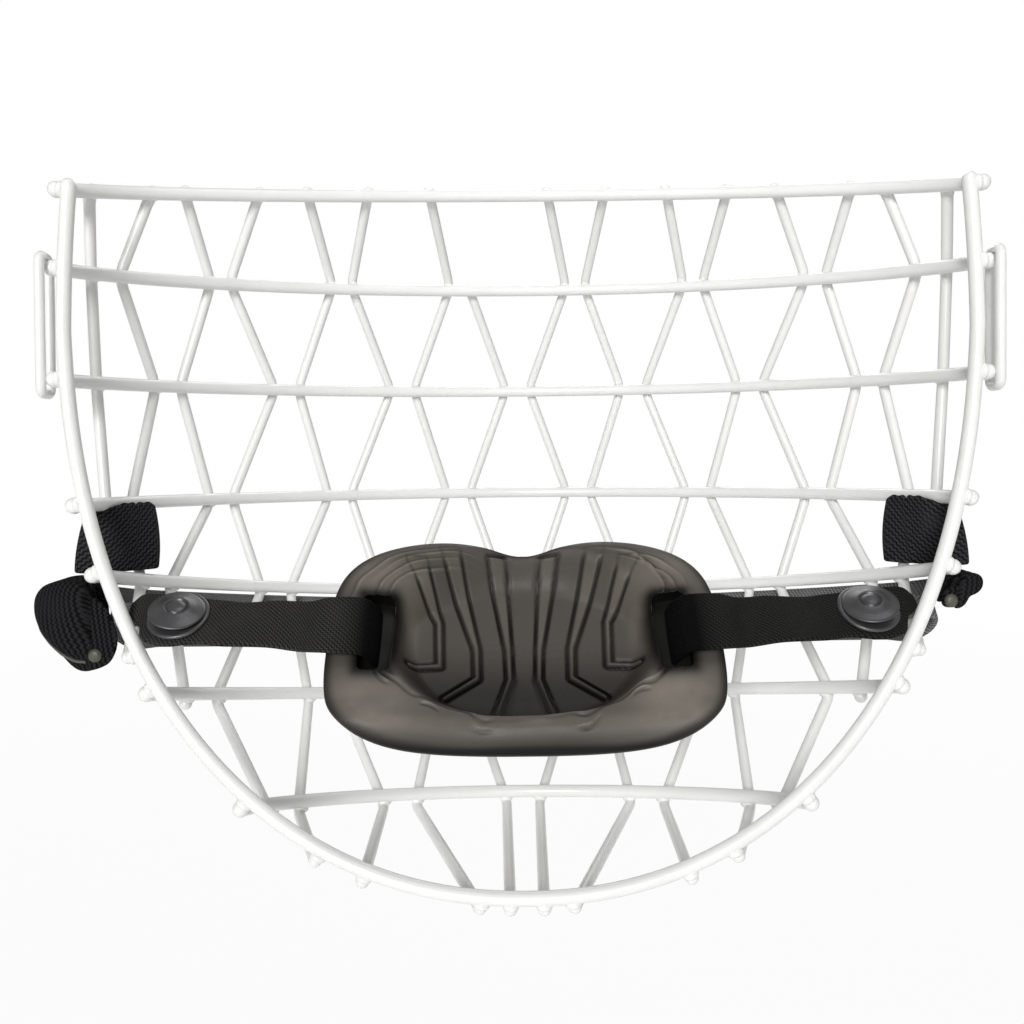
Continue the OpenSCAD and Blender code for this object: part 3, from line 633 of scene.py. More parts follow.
def mottle_group():
    """Soft clouds and a fine grain, both on Object coordinates"""
    group, start, end = shader_group(
        "surface_mottle",
        [("Cloud Scale", "NodeSocketFloat", 30.0), ("Grain Scale", "NodeSocketFloat", 900.0)],
        [("Cloud", "NodeSocketFloat"), ("Grain", "NodeSocketFloat")])
    coords = group.nodes.new("ShaderNodeTexCoord")
    cloud = noise(group, coords.outputs["Object"], start.outputs["Cloud Scale"], 3.0, 0.55)
    grain = noise(group, coords.outputs["Object"], start.outputs["Grain Scale"], 2.0, 0.5)
    group.links.new(cloud, end.inputs["Cloud"])
    group.links.new(grain, end.inputs["Grain"])
    return group


def use_group(tree, group, values):
    """Places a node group in a material with its own values"""
    node = tree.nodes.new("ShaderNodeGroup")
    node.node_tree = group
    for key, value in values.items():
        node.inputs[key].default_value = value
    return node


def bump(tree, height, strength, distance):
    """A normal that stands for small heights"""
    node = tree.nodes.new("ShaderNodeBump")
    node.inputs["Strength"].default_value = strength
    node.inputs["Distance"].default_value = distance
    tree.links.new(height, node.inputs["Height"])
    return node.outputs["Normal"]


def material(name, **sockets):
    """A material whose shader has the given plain values"""
    made = bpy.data.materials.new(name)
    made.use_nodes = True
    shader = made.node_tree.nodes["Principled BSDF"]
    for key, value in sockets.items():
        shader.inputs[key.replace("_", " ")].default_value = value
    return made, made.node_tree, shader


def shaded(colour, factor):
    """A colour made darker or lighter"""
    return tuple(min(1.0, c * factor) for c in colour[:3]) + (1.0,)


def coat_material(colour):
    """Dip coat: smooth and glossy, with faint warmer clouds and a slightly uneven surface"""
    made, tree, shader = material("dip_coat", Roughness=0.34, Coat_Weight=0.35, Coat_Roughness=0.12, IOR=1.48)
    mottle = use_group(tree, shared("surface_mottle"), {"Cloud Scale": 55.0, "Grain Scale": 420.0})
    warmer = (colour[0] * 0.97, colour[1] * 0.968, colour[2] * 0.955, 1.0)
    tone = colour_mix(tree, span(tree, mottle.outputs["Cloud"], 0.35, 0.7, 0.0, 1.0), colour, warmer)
    tree.links.new(tone, shader.inputs["Base Color"])
    tree.links.new(span(tree, mottle.outputs["Grain"], 0.3, 0.7, 0.28, 0.42), shader.inputs["Roughness"])
    tree.links.new(bump(tree, mottle.outputs["Cloud"], 0.25, 0.0006), shader.inputs["Normal"])
    return made


def attribute(tree, name):
    """A value that the piece's points carry, or zero where they carry none"""
    node = tree.nodes.new("ShaderNodeAttribute")
    node.attribute_name = name
    return node.outputs["Fac"]


def rubber_material(colour, bloom_and_highlight):
    """Moulded rubber: a pale patchy bloom that is also painted highlight on its high places, painted shade in
    its slots, grooves and low places, and a fine grain
    """
    made, tree, shader = material("moulded_rubber", Roughness=0.5, Specular_IOR_Level=0.22)
    mottle = use_group(tree, shared("surface_mottle"), {"Cloud Scale": 90.0, "Grain Scale": 1500.0})
    # The bloom, broken into patches, mixes in the pale bloom colour, which also serves as painted highlight
    patchy = math_node(tree, "MULTIPLY", attribute(tree, "bloom_and_highlight"),
                       span(tree, mottle.outputs["Cloud"], 0.3, 0.65, 0.65, 1.0), clamp=True)
    tone = colour_mix(tree, patchy, colour, bloom_and_highlight)
    # Painted shade darkens the colour almost to black where the points carry it
    deep = colour_mix(tree, attribute(tree, "painted_shade"), tone, shaded(colour, 0.06))
    tree.links.new(deep, shader.inputs["Base Color"])
    tree.links.new(span(tree, mottle.outputs["Cloud"], 0.3, 0.7, 0.42, 0.58), shader.inputs["Roughness"])
    tree.links.new(bump(tree, mottle.outputs["Grain"], 0.3, 0.00012), shader.inputs["Normal"])
    return made


def webbing_material(name, colour, thread, depth, low=0.5, high=1.7):
    """Woven webbing: painted shade between its threads and painted highlight on them, lighter where it is
    worn, and painted shade where its points carry it
    """
    made, tree, shader = material(name, Roughness=0.85, Specular_IOR_Level=0.1)
    weave = use_group(tree, shared("webbing_weave"), {"Thread": thread, "Slant": 1.0, "Fuzz": 0.35})
    mottle = use_group(tree, shared("surface_mottle"), {"Cloud Scale": 90.0})
    # A darker and a lighter copy of the colour, mixed by the weave: painted shade and painted highlight
    tone = colour_mix(tree, weave.outputs["Shade"], shaded(colour, low), shaded(colour, high))
    patches = span(tree, mottle.outputs["Cloud"], 0.45, 0.75, 0.0, 0.5)
    worn = colour_mix(tree, patches, tone, shaded(colour, high * 0.8))
    # Painted shade darkens the webbing almost to black where its points carry it
    deep = colour_mix(tree, attribute(tree, "painted_shade"), worn, shaded(colour, 0.05))
    tree.links.new(deep, shader.inputs["Base Color"])
    tree.links.new(bump(tree, weave.outputs["Height"], 0.8, depth), shader.inputs["Normal"])
    return made


def snap_material(colour):
    """Dark satin metal with faint lighter clouds"""
    made, tree, shader = material("snap_finish", Metallic=0.7, Roughness=0.36, Coat_Weight=0.15,
                                  Coat_Roughness=0.2)
    mottle = use_group(tree, shared("surface_mottle"), {"Cloud Scale": 160.0, "Grain Scale": 3000.0})
    clouds = span(tree, mottle.outputs["Cloud"], 0.3, 0.7, 0.0, 1.0)
    tone = colour_mix(tree, clouds, colour, shaded(colour, 1.35))
    tree.links.new(tone, shader.inputs["Base Color"])
    tree.links.new(span(tree, mottle.outputs["Grain"], 0.3, 0.7, 0.3, 0.45), shader.inputs["Roughness"])
    return made


def rivet_material():
    """Worn metal, dull with dark patches"""
    made, tree, shader = material("rivet_finish", Metallic=0.4, Roughness=0.5)
    mottle = use_group(tree, shared("surface_mottle"), {"Cloud Scale": 260.0})
    tone = colour_mix(tree, mottle.outputs["Cloud"], (0.13, 0.125, 0.10, 1.0), (0.04, 0.038, 0.03, 1.0))
    tree.links.new(tone, shader.inputs["Base Color"])
    return made


def shared(name):
    """A shader node group that is built once and used in many materials"""
    makers = {"webbing_weave": weave_group, "surface_mottle": mottle_group}
    return bpy.data.node_groups.get(name) or makers[name]()


def get_material(name):
    """A material by name, made from the scene's settings the first time it is asked for"""
    if name in bpy.data.materials:
        return bpy.data.materials[name]
    scene = bpy.context.scene
    straps, cup = scene.mask_straps, scene.mask_cup
    # The folded ends get the side straps' colour at half: painted shade that offsets the key light falling
    # more fully on them
    side_colour_in_painted_shade = shaded(straps.side_colour, 0.5)
    makers = {
        "dip_coat": lambda: coat_material(tuple(scene.mask_wires.coat)),
        "moulded_rubber": lambda: rubber_material(tuple(cup.rubber), tuple(cup.bloom_and_highlight_colour)),
        "chin_weave": lambda: webbing_material(name, straps.chin_colour, 0.00055, 0.00014, 0.3, 2.2),
        "outer_weave": lambda: webbing_material(name, straps.outer_colour, 0.00055, 0.0001),
        "side_weave": lambda: webbing_material(name, straps.side_colour, 0.00085, 0.0003, 0.35, 4.2),
        "fold_weave": lambda: webbing_material(name, side_colour_in_painted_shade, 0.0008, 0.0003, 0.3, 4.2),
        "piping_cord": lambda: webbing_material(name, straps.piping, 0.0005, 0.00008),
        "snap_finish": lambda: snap_material(tuple(straps.metal)),
        "rivet_finish": rivet_material,
    }
    return makers[name]()


# Wires of the cage

def wire_group():
    """The wires' node tree, which is made once"""
    return bpy.data.node_groups.get("coated_wire") or wire_tree()


def add_wire(name, node, path, diameter, sides=20, closed=False, swell=None):
    """Sweeps one coated wire along a path in millimetres, with a ball at each end where it is open"""
    swell = swell or bpy.context.scene.mask_wires.end_swell
    radius = diameter / MM / 2
    points, shares = (path, [1.0] * len(path)) if closed else balled(path, radius, swell)
    thing = path_object(name, points, shares, closed)
    apply_tree(thing, wire_group(), {"Radius": diameter / 2, "Sides": sides, "Closed": closed,
                                     "Material": get_material("dip_coat")})
    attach(thing, "cage")
    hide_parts(node)
    return thing


def wire_radii():
    """Radii of the heavy, the light and the ear loop wire"""
    wires = bpy.context.scene.mask_wires
    return wires.heavy_d / MM / 2, wires.light_d / MM / 2, wires.loop_d / MM / 2


def cage_bows():
    """The brow wire and the six cross wires, from the top down"""
    return [Bow(i, wire_radii()[0]) for i in range(7)]


def rim_path():
    """The rim from the right temple round the chin to the left one"""
    falls = [math.sin(math.radians(turn)) ** 1.3 for turn in np.arange(0, 90.1, 1.5)]
    low = [rim_at(RIM_WIDE_Z - RIM_DROP * fall) for fall in falls]
    high = [rim_at(RIM_WIDE_Z + share * RIM_RISE) for share in np.arange(1.0, 0.05, -0.1)]
    half = high + low
    return half + [to_side(p, LEFT) for p in reversed(half[:-1])]


def zigzag_welds(bows, w, side):
    """Centres of the wires that zigzag wire w crosses, and the directions of those wires there

    The left innermost wire starts below the brow wire, at the first cross wire."""
    first = 1 if w == 6 and side == LEFT else 0
    stops = [(i, bend_at(bows, i, w)) for i in range(first, LAST_BAR[w] + 1)]
    line = [bows[i].point(s) for i, s in stops]
    tangents = [bows[i].tangent(s) for i, s in stops]
    if w in RIM_WELD_SHARE:
        z = rim_z(RIM_HALF_WIDTH * RIM_WELD_SHARE[w])
        line.append(rim_at(z))
        tangents.append(rim_tangent(z))
    return line, tangents


def upright_welds(bows):
    """The same for an upright, on the right"""
    stops = [(i, bows[i].length - UPRIGHT_BACK[i]) for i in range(4)]
    return [bows[i].point(s) for i, s in stops], [bows[i].tangent(s) for i, s in stops]


class MASK_OT_rim_and_bars(bpy.types.Operator):
    """Makes the rim, the brow wire and the six cross wires"""
    bl_idname = "mask.rim_and_bars"
    bl_label = "Rim and Cross Wires"

    def execute(self, context):
        diameter = context.scene.mask_wires.heavy_d
        add_wire("rim", "rim_wire", rim_path(), diameter, 24, swell=1.04)
        for i, bow in enumerate(cage_bows()):
            name, node = (f"cross_bar_{i}", f"cross_wire_{i}") if i else ("brow_bar", "brow_wire")
            add_wire(name, node, [bow.at(bow_turn(k)) for k in range(-60, 61)], diameter, 24)
        return {"FINISHED"}


class MASK_OT_zigzags(bpy.types.Operator):
    """Makes the zigzag wires and the two uprights, bent at every wire that they cross"""
    bl_idname = "mask.zigzags"
    bl_label = "Zigzag Wires"

    def execute(self, context):
        bows = cage_bows()
        diameter = context.scene.mask_wires.light_d
        heavy, light, _ = wire_radii()
        lift = heavy + light - WELD_SINK
        for side, label in SIDES:
            for w, letter in enumerate("abcdefg"):
                line, tangents = zigzag_welds(bows, w, side)
                tail = RIM_TAIL if w in RIM_WELD_SHARE else TAIL
                path = run_out(rounded(lifted(line, tangents, lift)[0]), tail)
                add_wire(f"truss_{label}_{letter}", f"zigzag_{label}_{letter}", to_side(path, side), diameter)
            line, tangents = upright_welds(bows)
            path = run_out(rounded(lifted(line, tangents, lift)[0]), UPRIGHT_TAIL)
            add_wire(f"temple_wire_{label}", f"upright_{label}", to_side(path, side), diameter)
        return {"FINISHED"}


class MASK_OT_ear_loops(bpy.types.Operator):
    """Makes the loop of thin wire beside each ear"""
    bl_idname = "mask.ear_loops"
    bl_label = "Ear Loops"

    def execute(self, context):
        heavy, _, loop = wire_radii()
        toe = math.radians(10)
        high, deep, bend = 31.3, 7.1, 2.0
        inset, lean = 0.9, 0.035
        out = cage_bows()[1].half + heavy + loop - WELD_SINK + deep / 2 * math.sin(toe)
        corners = [(1, 1), (-1, 1), (-1, -1), (1, -1)]
        for side, label in SIDES:
            path = []
            for c, (fore, up) in enumerate(corners):
                for turn in range(0, 91, 9):
                    a = math.radians(c * 90 + turn)
                    x = (deep / 2 - bend) * fore + bend * math.cos(a)
                    y = (high / 2 - bend) * up + bend * math.sin(a)
                    path.append(np.array([out - inset + x * math.sin(toe) - lean * y, x * math.cos(toe), y]))
            add_wire(f"ear_slot_{label}", f"ear_loop_{label}", to_side(path, side),
                     context.scene.mask_wires.loop_d, 18, True)
        return {"FINISHED"}


class MASK_OT_welds(bpy.types.Operator):
    """Makes the pools of coat where two wires are welded together"""
    bl_idname = "mask.welds"
    bl_label = "Weld Beads"

    def execute(self, context):
        bows = cage_bows()
        heavy, light, _ = wire_radii()
        spots = []
        for side in (LEFT, RIGHT):
            runs = [zigzag_welds(bows, w, side) for w in range(7)] + [upright_welds(bows)]
            for line, tangents in runs:
                points, normals = lifted(line, tangents, heavy)
                for p, n in zip(points, normals):
                    spots.append((to_side(p, side), to_side(n, side), light * LIGHT_BEAD))
            for bow, z in zip(bows, BAR_RIM_Z):
                rim = rim_at(z)
                out = unit(bow.cross - rim)
                spots.append((to_side(rim + out * heavy, side), to_side(out, side), heavy * HEAVY_BEAD))
        mesh = bpy.data.meshes.new("welds")
        mesh.from_pydata([tuple(p * MM) for p, n, r in spots], [], [])
        across = mesh.attributes.new("across", "FLOAT_VECTOR", "POINT")
        across.data.foreach_set("vector", np.array([n for p, n, r in spots], np.float32).ravel())
        size = mesh.attributes.new("size", "FLOAT", "POINT")
        size.data.foreach_set("value", np.array([r * MM for p, n, r in spots], np.float32))
        thing = bpy.data.objects.new("weld_beads", mesh)
        context.scene.collection.objects.link(thing)
        apply_tree(thing, bead_tree(), {"Flatness": BEAD_FLATNESS, "Segments": 18,
                                        "Material": get_material("dip_coat")})
        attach(thing, "cage")
        return {"FINISHED"}


# Chin cup

def smooth_step(t):
    """A rise from 0 to 1 that is level at both ends"""
    u = np.clip(t, 0.0, 1.0)
    return u * u * (3 - 2 * u)


def hump(x, middle, width):
    """A round hump of height 1"""
    return np.exp(-((x - middle) / width) ** 2)


def leant(points, lean, middle):
    """Points in a frame with X to the right, Y up a leaning face and Z out of it, put in the mask's frame"""
    p = np.asarray(points, float)
    c, s = math.cos(math.radians(lean)), math.sin(math.radians(lean))
    return np.stack([p[..., 0] + middle[0], p[..., 1] * c - p[..., 2] * s + middle[1],
                     p[..., 1] * s + p[..., 2] * c + middle[2]], -1)


def from_cup(points):
    """Points of the cup's own frame, put in the mask's frame"""
    return leant(points, CUP_LEAN, CUP_MIDDLE)


class CupForm:
    """The chin cup's outline and the heights of its face, in the cup's own frame and in millimetres"""
    half_w = 44.5
    # Roundness of the outline's upper and lower corners, where 2 is an ellipse, and its upper edge's notch
    round_above, round_below = 2.85, 4.5
    notch_depth, notch_w = 3.9, 12.6
    # How the face curves round the jaw, and the rounded lip along its foot
    wrap = 0.0025
    lip, lip_in, lip_half = 3.1, 5.4, 5.2
    panel_w, panel_top, panel_low, panel_up = 30.0, 22.0, 25.2, 3.5
    rib_rise, groove_depth = 0.5, 0.95
    # Creases on the shoulders: share of the way out to the edge, half length and middle along X
    shoulder_creases = [(0.73, 9.0, -26.0), (0.795, 11.0, -30.0), (0.855, 8.0, -23.0), (0.9, 10.0, -33.0),
                        (0.82, 8.0, 33.0), (0.88, 7.0, 30.0)]

    def __init__(self, settings):
        self.up = settings.up / MM
        self.down = settings.down / MM
        self.depth = settings.panel_depth / MM
        self.wall = settings.wall / MM

    def outline(self, turn):
        """The cup's edge at each turn about its middle"""
        s, c = np.sin(turn), np.cos(turn)
        above = s > 0
        n = 2 / np.where(above, self.round_above, self.round_below)
        x = self.half_w * np.sign(c) * np.abs(c) ** n
        notch = np.where(above, self.notch_depth * hump(x, 0.0, self.notch_w), 0.0)
        return x, np.where(above, self.up, self.down) * np.sign(s) * np.abs(s) ** n - notch

    def panel(self, x, y):
        """Share of the sunken panel's depth, from 0 outside it to 1 on its floor"""
        above = smooth_step((y - self.panel_up) / 12)
        reach = np.where(y > self.panel_up, self.panel_top, self.panel_low)
        aside, away = np.abs(x) / self.panel_w, np.abs(y - self.panel_up) / reach
        level = 1.25 - 0.23 * above - aside ** 2.4 - away ** 2.4
        return smooth_step(level / (0.55 + 0.3 * above))

    def face(self, x, y):
        """Height of the plain face, without its ribs and wrinkles"""
        lip = self.lip * hump(y, self.lip_in - self.down, self.lip_half)
        return self.wrap * x * x - self.depth * self.panel(x, y) + lip

    def ribs(self, x, y):
        """Height of the six ribs over the panel, and how deep a place lies in the grooves beside them"""
        rise = np.zeros_like(x)
        groove = np.zeros_like(x)
        side = np.abs(x)
        for line in RIB_LINES:
            off = np.full_like(x, 100.0)
            for k in range(3):
                (ax, ay), (bx, by) = line[k], line[k + 1]
                dx, dy = bx - ax, by - ay
                t = np.clip(((side - ax) * dx + (y - ay) * dy) / (dx * dx + dy * dy), 0, 1)
                half = RIB_HALF_WIDTHS[k] * (1 - t) + RIB_HALF_WIDTHS[k + 1] * t
                off = np.minimum(off, np.hypot(side - ax - t * dx, y - ay - t * dy) - half)
            off = np.maximum(off, y - line[0][1])
            rise = np.maximum(rise, smooth_step((0.15 - off) / 0.45))
            groove = np.maximum(groove, hump(off, 0.5, 0.33))
        return rise, groove

    def creases(self, x, y, share):
        """Raised lines with a furrow beside each: along both shoulders, and one round the right shoulder"""
        drift = share + 0.006 * np.sin(0.45 * x + 1.3 * np.sign(x)) + 0.004 * np.sin(0.9 * y)
        lines = np.zeros_like(x)
        for place, reach, where in self.shoulder_creases:
            line = hump(drift, place, 0.008) - 0.6 * hump(drift, place + 0.016, 0.009)
            lines = lines + line * hump(x, where, reach) * smooth_step((y - 4) / 6)
        arc = np.hypot(np.abs(x) - 20.0, y - 9.5) + 0.4 * np.sin(0.5 * y)
        round_crease = 1.2 * (hump(arc, 12.6, 0.4) - 0.5 * hump(arc, 13.5, 0.5))
        lines = lines + round_crease * hump(x, 31.0, 7.0) * (y > 8)
        return lines * (1 - self.panel(x, y))

    def folds(self, x, y):
        """Two wavy lines along the panel's foot, fainter in the middle and gone at the sides"""
        side = np.abs(x)
        edge = -23.9 + 0.0128 * side * side + 0.8 * np.sin(0.31 * x + 0.8) + 0.5 * np.sin(0.83 * x)
        lower = edge - 2.4 + 0.7 * np.sin(0.23 * x + 2.0)
        first = hump(y, edge, 0.4) * (0.5 + 0.5 * np.sin(0.3 * x - 0.6)) - 0.8 * hump(y, edge - 0.9, 0.45)
        second = hump(y, lower, 0.35) - 0.7 * hump(y, lower - 0.8, 0.4)
        both = first + second * smooth_step(np.sin(0.55 * x + 0.4))
        return 0.8 * both * smooth_step((38 - side) / 8) * (0.35 + 0.65 * smooth_step((side - 5) / 8))

    def swells(self, x, y):
        """Faint ripples on the panel's middle and a slow swell along the lip"""
        ripple = np.sin(3.1 * y + 0.8 * np.sin(0.5 * x)) * hump(y, -1.5, 4.0) * hump(np.abs(x), 8.0, 6.0)
        return 0.04 * ripple + 0.45 * np.sin(0.17 * x + 0.6) * hump(y, 5.5 - self.down, 6.0)

    def slot_edge(self, x, y):
        """Distance of a place from the nearer strap slot, zero inside it"""
        over_x = np.maximum(0, np.abs(np.abs(x) - SLOT_X) - SLOT_GAP / 2)
        over_y = np.maximum(0, np.abs(y - SLOT_Y) - SLOT_LENGTH / 2)
        return np.hypot(over_x, over_y)


def cup_details(form, x, y, z, share):
    """One ring of the cup's face with its ribs and wrinkles: its heights, its bloom with painted highlights
    and its painted shade
    """
    rise, groove = form.ribs(x, y)
    panel = form.panel(x, y)
    flat = smooth_step(panel * 4) * (share < 0.97)
    z = z + (form.rib_rise * rise - form.groove_depth * groove) * flat
    creased = form.creases(x, y, share) + form.folds(x, y)
    z = z + smooth_step((1.0 - share) / 0.06) * (0.6 * creased + form.swells(x, y))
    # Bloom: the rubber's pale bloom, also painted highlight along the lip, on the panel's side walls and
    # shoulders, on the rib tops and raised crease lines; less in the grooves
    line = 0.8 * np.maximum(0, creased)
    sides = hump(np.abs(x), 33.0, 9.0)
    lip = hump(y, 11.0 - form.down, 6.5) * (0.12 + 1.05 * sides) + 0.3 * hump(y, 5.5 - form.down, 2.2)
    shoulder = 0.62 * sides * hump(y, 14.0, 6.0)
    wall = hump(np.abs(x), 27.5, 2.0) * hump(y, 2.0, 9.0)
    bloom_and_highlight = 0.08 + 0.95 * lip + 0.4 * wall + shoulder + 0.2 * rise * flat + line - 0.5 * groove
    # Painted shade: in and round the strap slots, in the grooves beside the ribs and the furrows beside the
    # creases, over the panel's lower part, along the cup's edge and over its lower middle
    painted_shade = hump(form.slot_edge(x, y), 0.0, 1.6)
    painted_shade = painted_shade + 0.95 * groove * flat + 0.8 * np.maximum(0, -creased)
    painted_shade = painted_shade + 0.75 * panel * smooth_step((2 - y) / 16)
    painted_shade = painted_shade + 0.75 * smooth_step((share - 0.94) / 0.055)
    painted_shade = painted_shade + 0.6 * smooth_step((share - 0.88) / 0.1) * hump(x, 0.0, 28.0) * (y < 0)
    return z, np.clip(bloom_and_highlight, 0, 1), np.clip(painted_shade, 0, 1)


def cup_rings(form, around):
    """Rings of the cup from the middle of its face over its edge to its back, with their bloom and painted
    highlights and their painted shade
    """
    turns = -(np.arange(around) + 0.5) * 2 * math.pi / around
    edge_x, edge_y = form.outline(turns)
    front = [0.015 + 0.95 * k / 124 for k in range(125)] + [0.975, 0.984, 0.991, 0.996]
    back = [0.996, 0.985, 0.965, 0.93] + [0.88 - 0.84 * k / 16 for k in range(17)]
    rings, bloom_and_highlights, painted_shades = [], [], []
    for share, side in [(s, 1) for s in front] + [(1.0, 0)] + [(s, -1) for s in back]:
        x, y = share * edge_x, share * edge_y
        z = form.face(x, y) - form.wall / 2 + side * form.wall / 2 * math.sqrt(1 - share ** 8)
        bloom_and_highlight, painted_shade = np.zeros_like(x), np.zeros_like(x)
        if side > 0:
            z, bloom_and_highlight, painted_shade = cup_details(form, x, y, z, share)
        rings.append(np.stack([x, y, z], -1))
        bloom_and_highlights.append(bloom_and_highlight)
        painted_shades.append(painted_shade)
    return rings, bloom_and_highlights, painted_shades


class MASK_OT_chin_cup(bpy.types.Operator):
    """Makes the moulded chin cup with its sunken ribbed panel, folds and strap slots"""
    bl_idname = "mask.chin_cup"
    bl_label = "Chin Cup"

    def execute(self, context):
        form = CupForm(context.scene.mask_cup)
        around = 540
        rings, bloom_and_highlights, painted_shades = cup_rings(form, around)
        points = np.concatenate(rings + [rings[0].mean(0)[None], rings[-1].mean(0)[None]])
        last = len(points) - 1
        first, tail = last - 1, last - 1 - around
        faces = skin(len(rings), around)
        for j in range(around):
            k = (j + 1) % around
            faces.append((first, k, j))
            faces.append((last, tail + j, tail + k))
        mesh = new_mesh("chin_cup_form", from_cup(points) * MM, faces)
        for name, values in (("bloom_and_highlight", bloom_and_highlights), ("painted_shade", painted_shades)):
            layer = mesh.attributes.new(name, "FLOAT", "POINT")
            layer.data.foreach_set("value", np.concatenate(values + [[0.0, 0.0]]).astype(np.float32))
        cup = finish_mesh("moulded_chin_cup", mesh, "cup", ["chin_cup"])
        cut_slots(cup)
        shade_slots(cup, form)
        paint(cup, get_material("moulded_rubber"))
        return {"FINISHED"}


def cut_slots(cup):
    """Sinks a pocket with round corners for each strap slot, and opens its floor just round the strap"""
    corner, clear = 1.2, 0.35
    floor, floor_slope, above = -2.0, 0.3, 30
    straps = bpy.context.scene.mask_straps
    half, t = straps.width / MM / 2 + clear, straps.thickness / MM + 2 * clear
    chin = strap_lines(bpy.context.scene)[1]
    for side in (LEFT, RIGHT):
        ring = []
        for c, (right, up) in enumerate([(1, 1), (-1, 1), (-1, -1), (1, -1)]):
            for turn in range(0, 91, 15):
                a = math.radians(c * 90 + turn)
                ring.append(((SLOT_GAP / 2 - corner) * right + corner * math.cos(a) + side * SLOT_X,
                             (SLOT_LENGTH / 2 - corner) * up + corner * math.sin(a) + SLOT_Y))
        points = [(x, y, floor + floor_slope * (abs(x) - SLOT_X + SLOT_GAP / 2)) for x, y in ring]
        points += [(x, y, above) for x, y in ring]
        faces = end_faces(2, len(ring)) + skin(2, len(ring))
        cut_away(cup, new_mesh("pocket", from_cup(points) * MM, faces))
        rings = strap_rings(chin[4:8], CUP_LEAN, CUP_MIDDLE, half, side)
        cut_away(cup, webbing("sleeve", rings, t, 4, 1.0, 0.0))


def shade_slots(cup, form):
    """Paints shade on the front of the cup in its strap slots and close round them"""
    mesh = cup.data
    places, shades = (np.empty(len(mesh.vertices) * size, np.float32) for size in (3, 1))
    mesh.vertices.foreach_get("co", places)
    mesh.attributes["painted_shade"].data.foreach_get("value", shades)
    off = places.reshape(-1, 3) / MM - np.array(CUP_MIDDLE)
    lean = math.radians(CUP_LEAN)
    up = np.array([0, math.cos(lean), math.sin(lean)])
    out = np.array([0, -math.sin(lean), math.cos(lean)])
    x, y = off[:, 0], off @ up
    edge = form.slot_edge(x, y)
    in_front = off @ out > form.face(x, y) - form.wall + 0.15
    near = hump(edge, 0.0, 1.9) * (in_front | (edge < 0.6))
    mesh.attributes["painted_shade"].data.foreach_set("value", np.maximum(shades, near).astype(np.float32))


def cut_away(thing, mesh):
    """Takes a solid away from a piece"""
    # The cutter's points carry full painted shade and no bloom or highlight, so the walls and floors of the
    # cuts come out dark
    for name, value in (("painted_shade", 1.0), ("bloom_and_highlight", 0.0)):
        layer = mesh.attributes.new(name, "FLOAT", "POINT")
        layer.data.foreach_set("value", [value] * len(mesh.vertices))
    cutter = bpy.data.objects.new("cutter", mesh)
    bpy.context.scene.collection.objects.link(cutter)
    cut = thing.modifiers.new("cut", "BOOLEAN")
    cut.object = cutter
    cut.operation = "DIFFERENCE"
    cut.solver = "EXACT"
    bpy.context.view_layer.update()
    left = bpy.data.meshes.new_from_object(thing.evaluated_get(bpy.context.evaluated_depsgraph_get()))
    thing.modifiers.clear()
    thing.data = left
    bpy.data.objects.remove(cutter)


# Webbing

def flowing(rings, step, closed):
    """Smooth rows through the rows given, about a step apart, and how far along each one lies"""
    rows = np.array([np.concatenate([np.ravel(part) for part in ring]) for ring in rings], float)
    if closed:
        rows = np.concatenate([rows[-2:], rows, rows[:3]])
    chord = np.concatenate([[0], np.cumsum(np.linalg.norm(np.diff(rows[:, :3], axis=0), axis=1))])
    slope = np.gradient(rows, chord, axis=0)
    first, last = (chord[2], chord[-3]) if closed else (0.0, chord[-1])
    places = np.linspace(first, last, max(3, int((last - first) / step)))
    out = []
    for s in places[:-1] if closed else places:
        k = min(len(chord) - 2, int(np.searchsorted(chord, s, side="right")) - 1)
        h = chord[k + 1] - chord[k]
        t = (s - chord[k]) / h
        out.append((2 * t ** 3 - 3 * t ** 2 + 1) * rows[k] + (t ** 3 - 2 * t ** 2 + t) * h * slope[k]
                   + (-2 * t ** 3 + 3 * t ** 2) * rows[k + 1] + (t ** 3 - t ** 2) * h * slope[k + 1])
    return np.array(out), places - first


def band_section(across, corner=5):
    """Once round a band: shares of its half width and half thickness, and how far round its side"""
    one = [(-1 + 2 * k / across, 1.0, 0.0) for k in range(across + 1)]
    turn = [(1.0, math.cos(math.pi * k / corner), math.sin(math.pi * k / corner)) for k in range(1, corner)]
    half = one + turn
    return half + [(-w, -rise, bulge) for w, rise, bulge in half]


def webbing(name, rings, thickness, across=20, step=0.8, crown=0.12, closed=False, bow=0.0):
    """A woven band, open or closed: each ring is its middle, the direction of its width and half its width

    A crown makes it thicker along its middle, and a bow bends its middle out."""
    rows, run = flowing(rings, step, closed)
    n = len(rows)
    middles = rows[:, :3]
    if closed:
        ahead = np.roll(middles, -1, axis=0) - np.roll(middles, 1, axis=0)
    else:
        ahead = np.gradient(middles, run, axis=0)
    section = band_section(across)
    m = len(section)
    points = np.empty((n, m, 3))
    sideways = np.empty((n, m))
    for i in range(n):
        wide = unit(rows[i, 3:6])
        up = unit(np.cross(ahead[i], wide))
        half = rows[i, 6] - thickness / 2
        for j, (w, rise, bulge) in enumerate(section):
            off = w * half + math.copysign(bulge * thickness / 2, w)
            belly = (crown * rise + bow) * (1 - w * w)
            points[i, j] = middles[i] + wide * off + up * (rise * thickness / 2 + belly)
            sideways[i, j] = off
    faces, corners = [], []
    if not closed:
        for i, order in ((0, range(m - 1, -1, -1)), (n - 1, range(m))):
            faces.append(tuple(i * m + j for j in order))
            corners += [(run[i], sideways[i, j]) for j in order]
    for i in range(n if closed else n - 1):
        after = (i + 1) % n
        for j in range(m):
            k = (j + 1) % m
            faces.append((i * m + j, i * m + k, after * m + k, after * m + j))
            corners += [(run[i], sideways[i, j]), (run[i], sideways[i, k]),
                        (run[i + 1], sideways[after, k]), (run[i + 1], sideways[after, j])]
    return new_mesh(name, points.reshape(-1, 3) * MM, faces, np.array(corners) * MM)


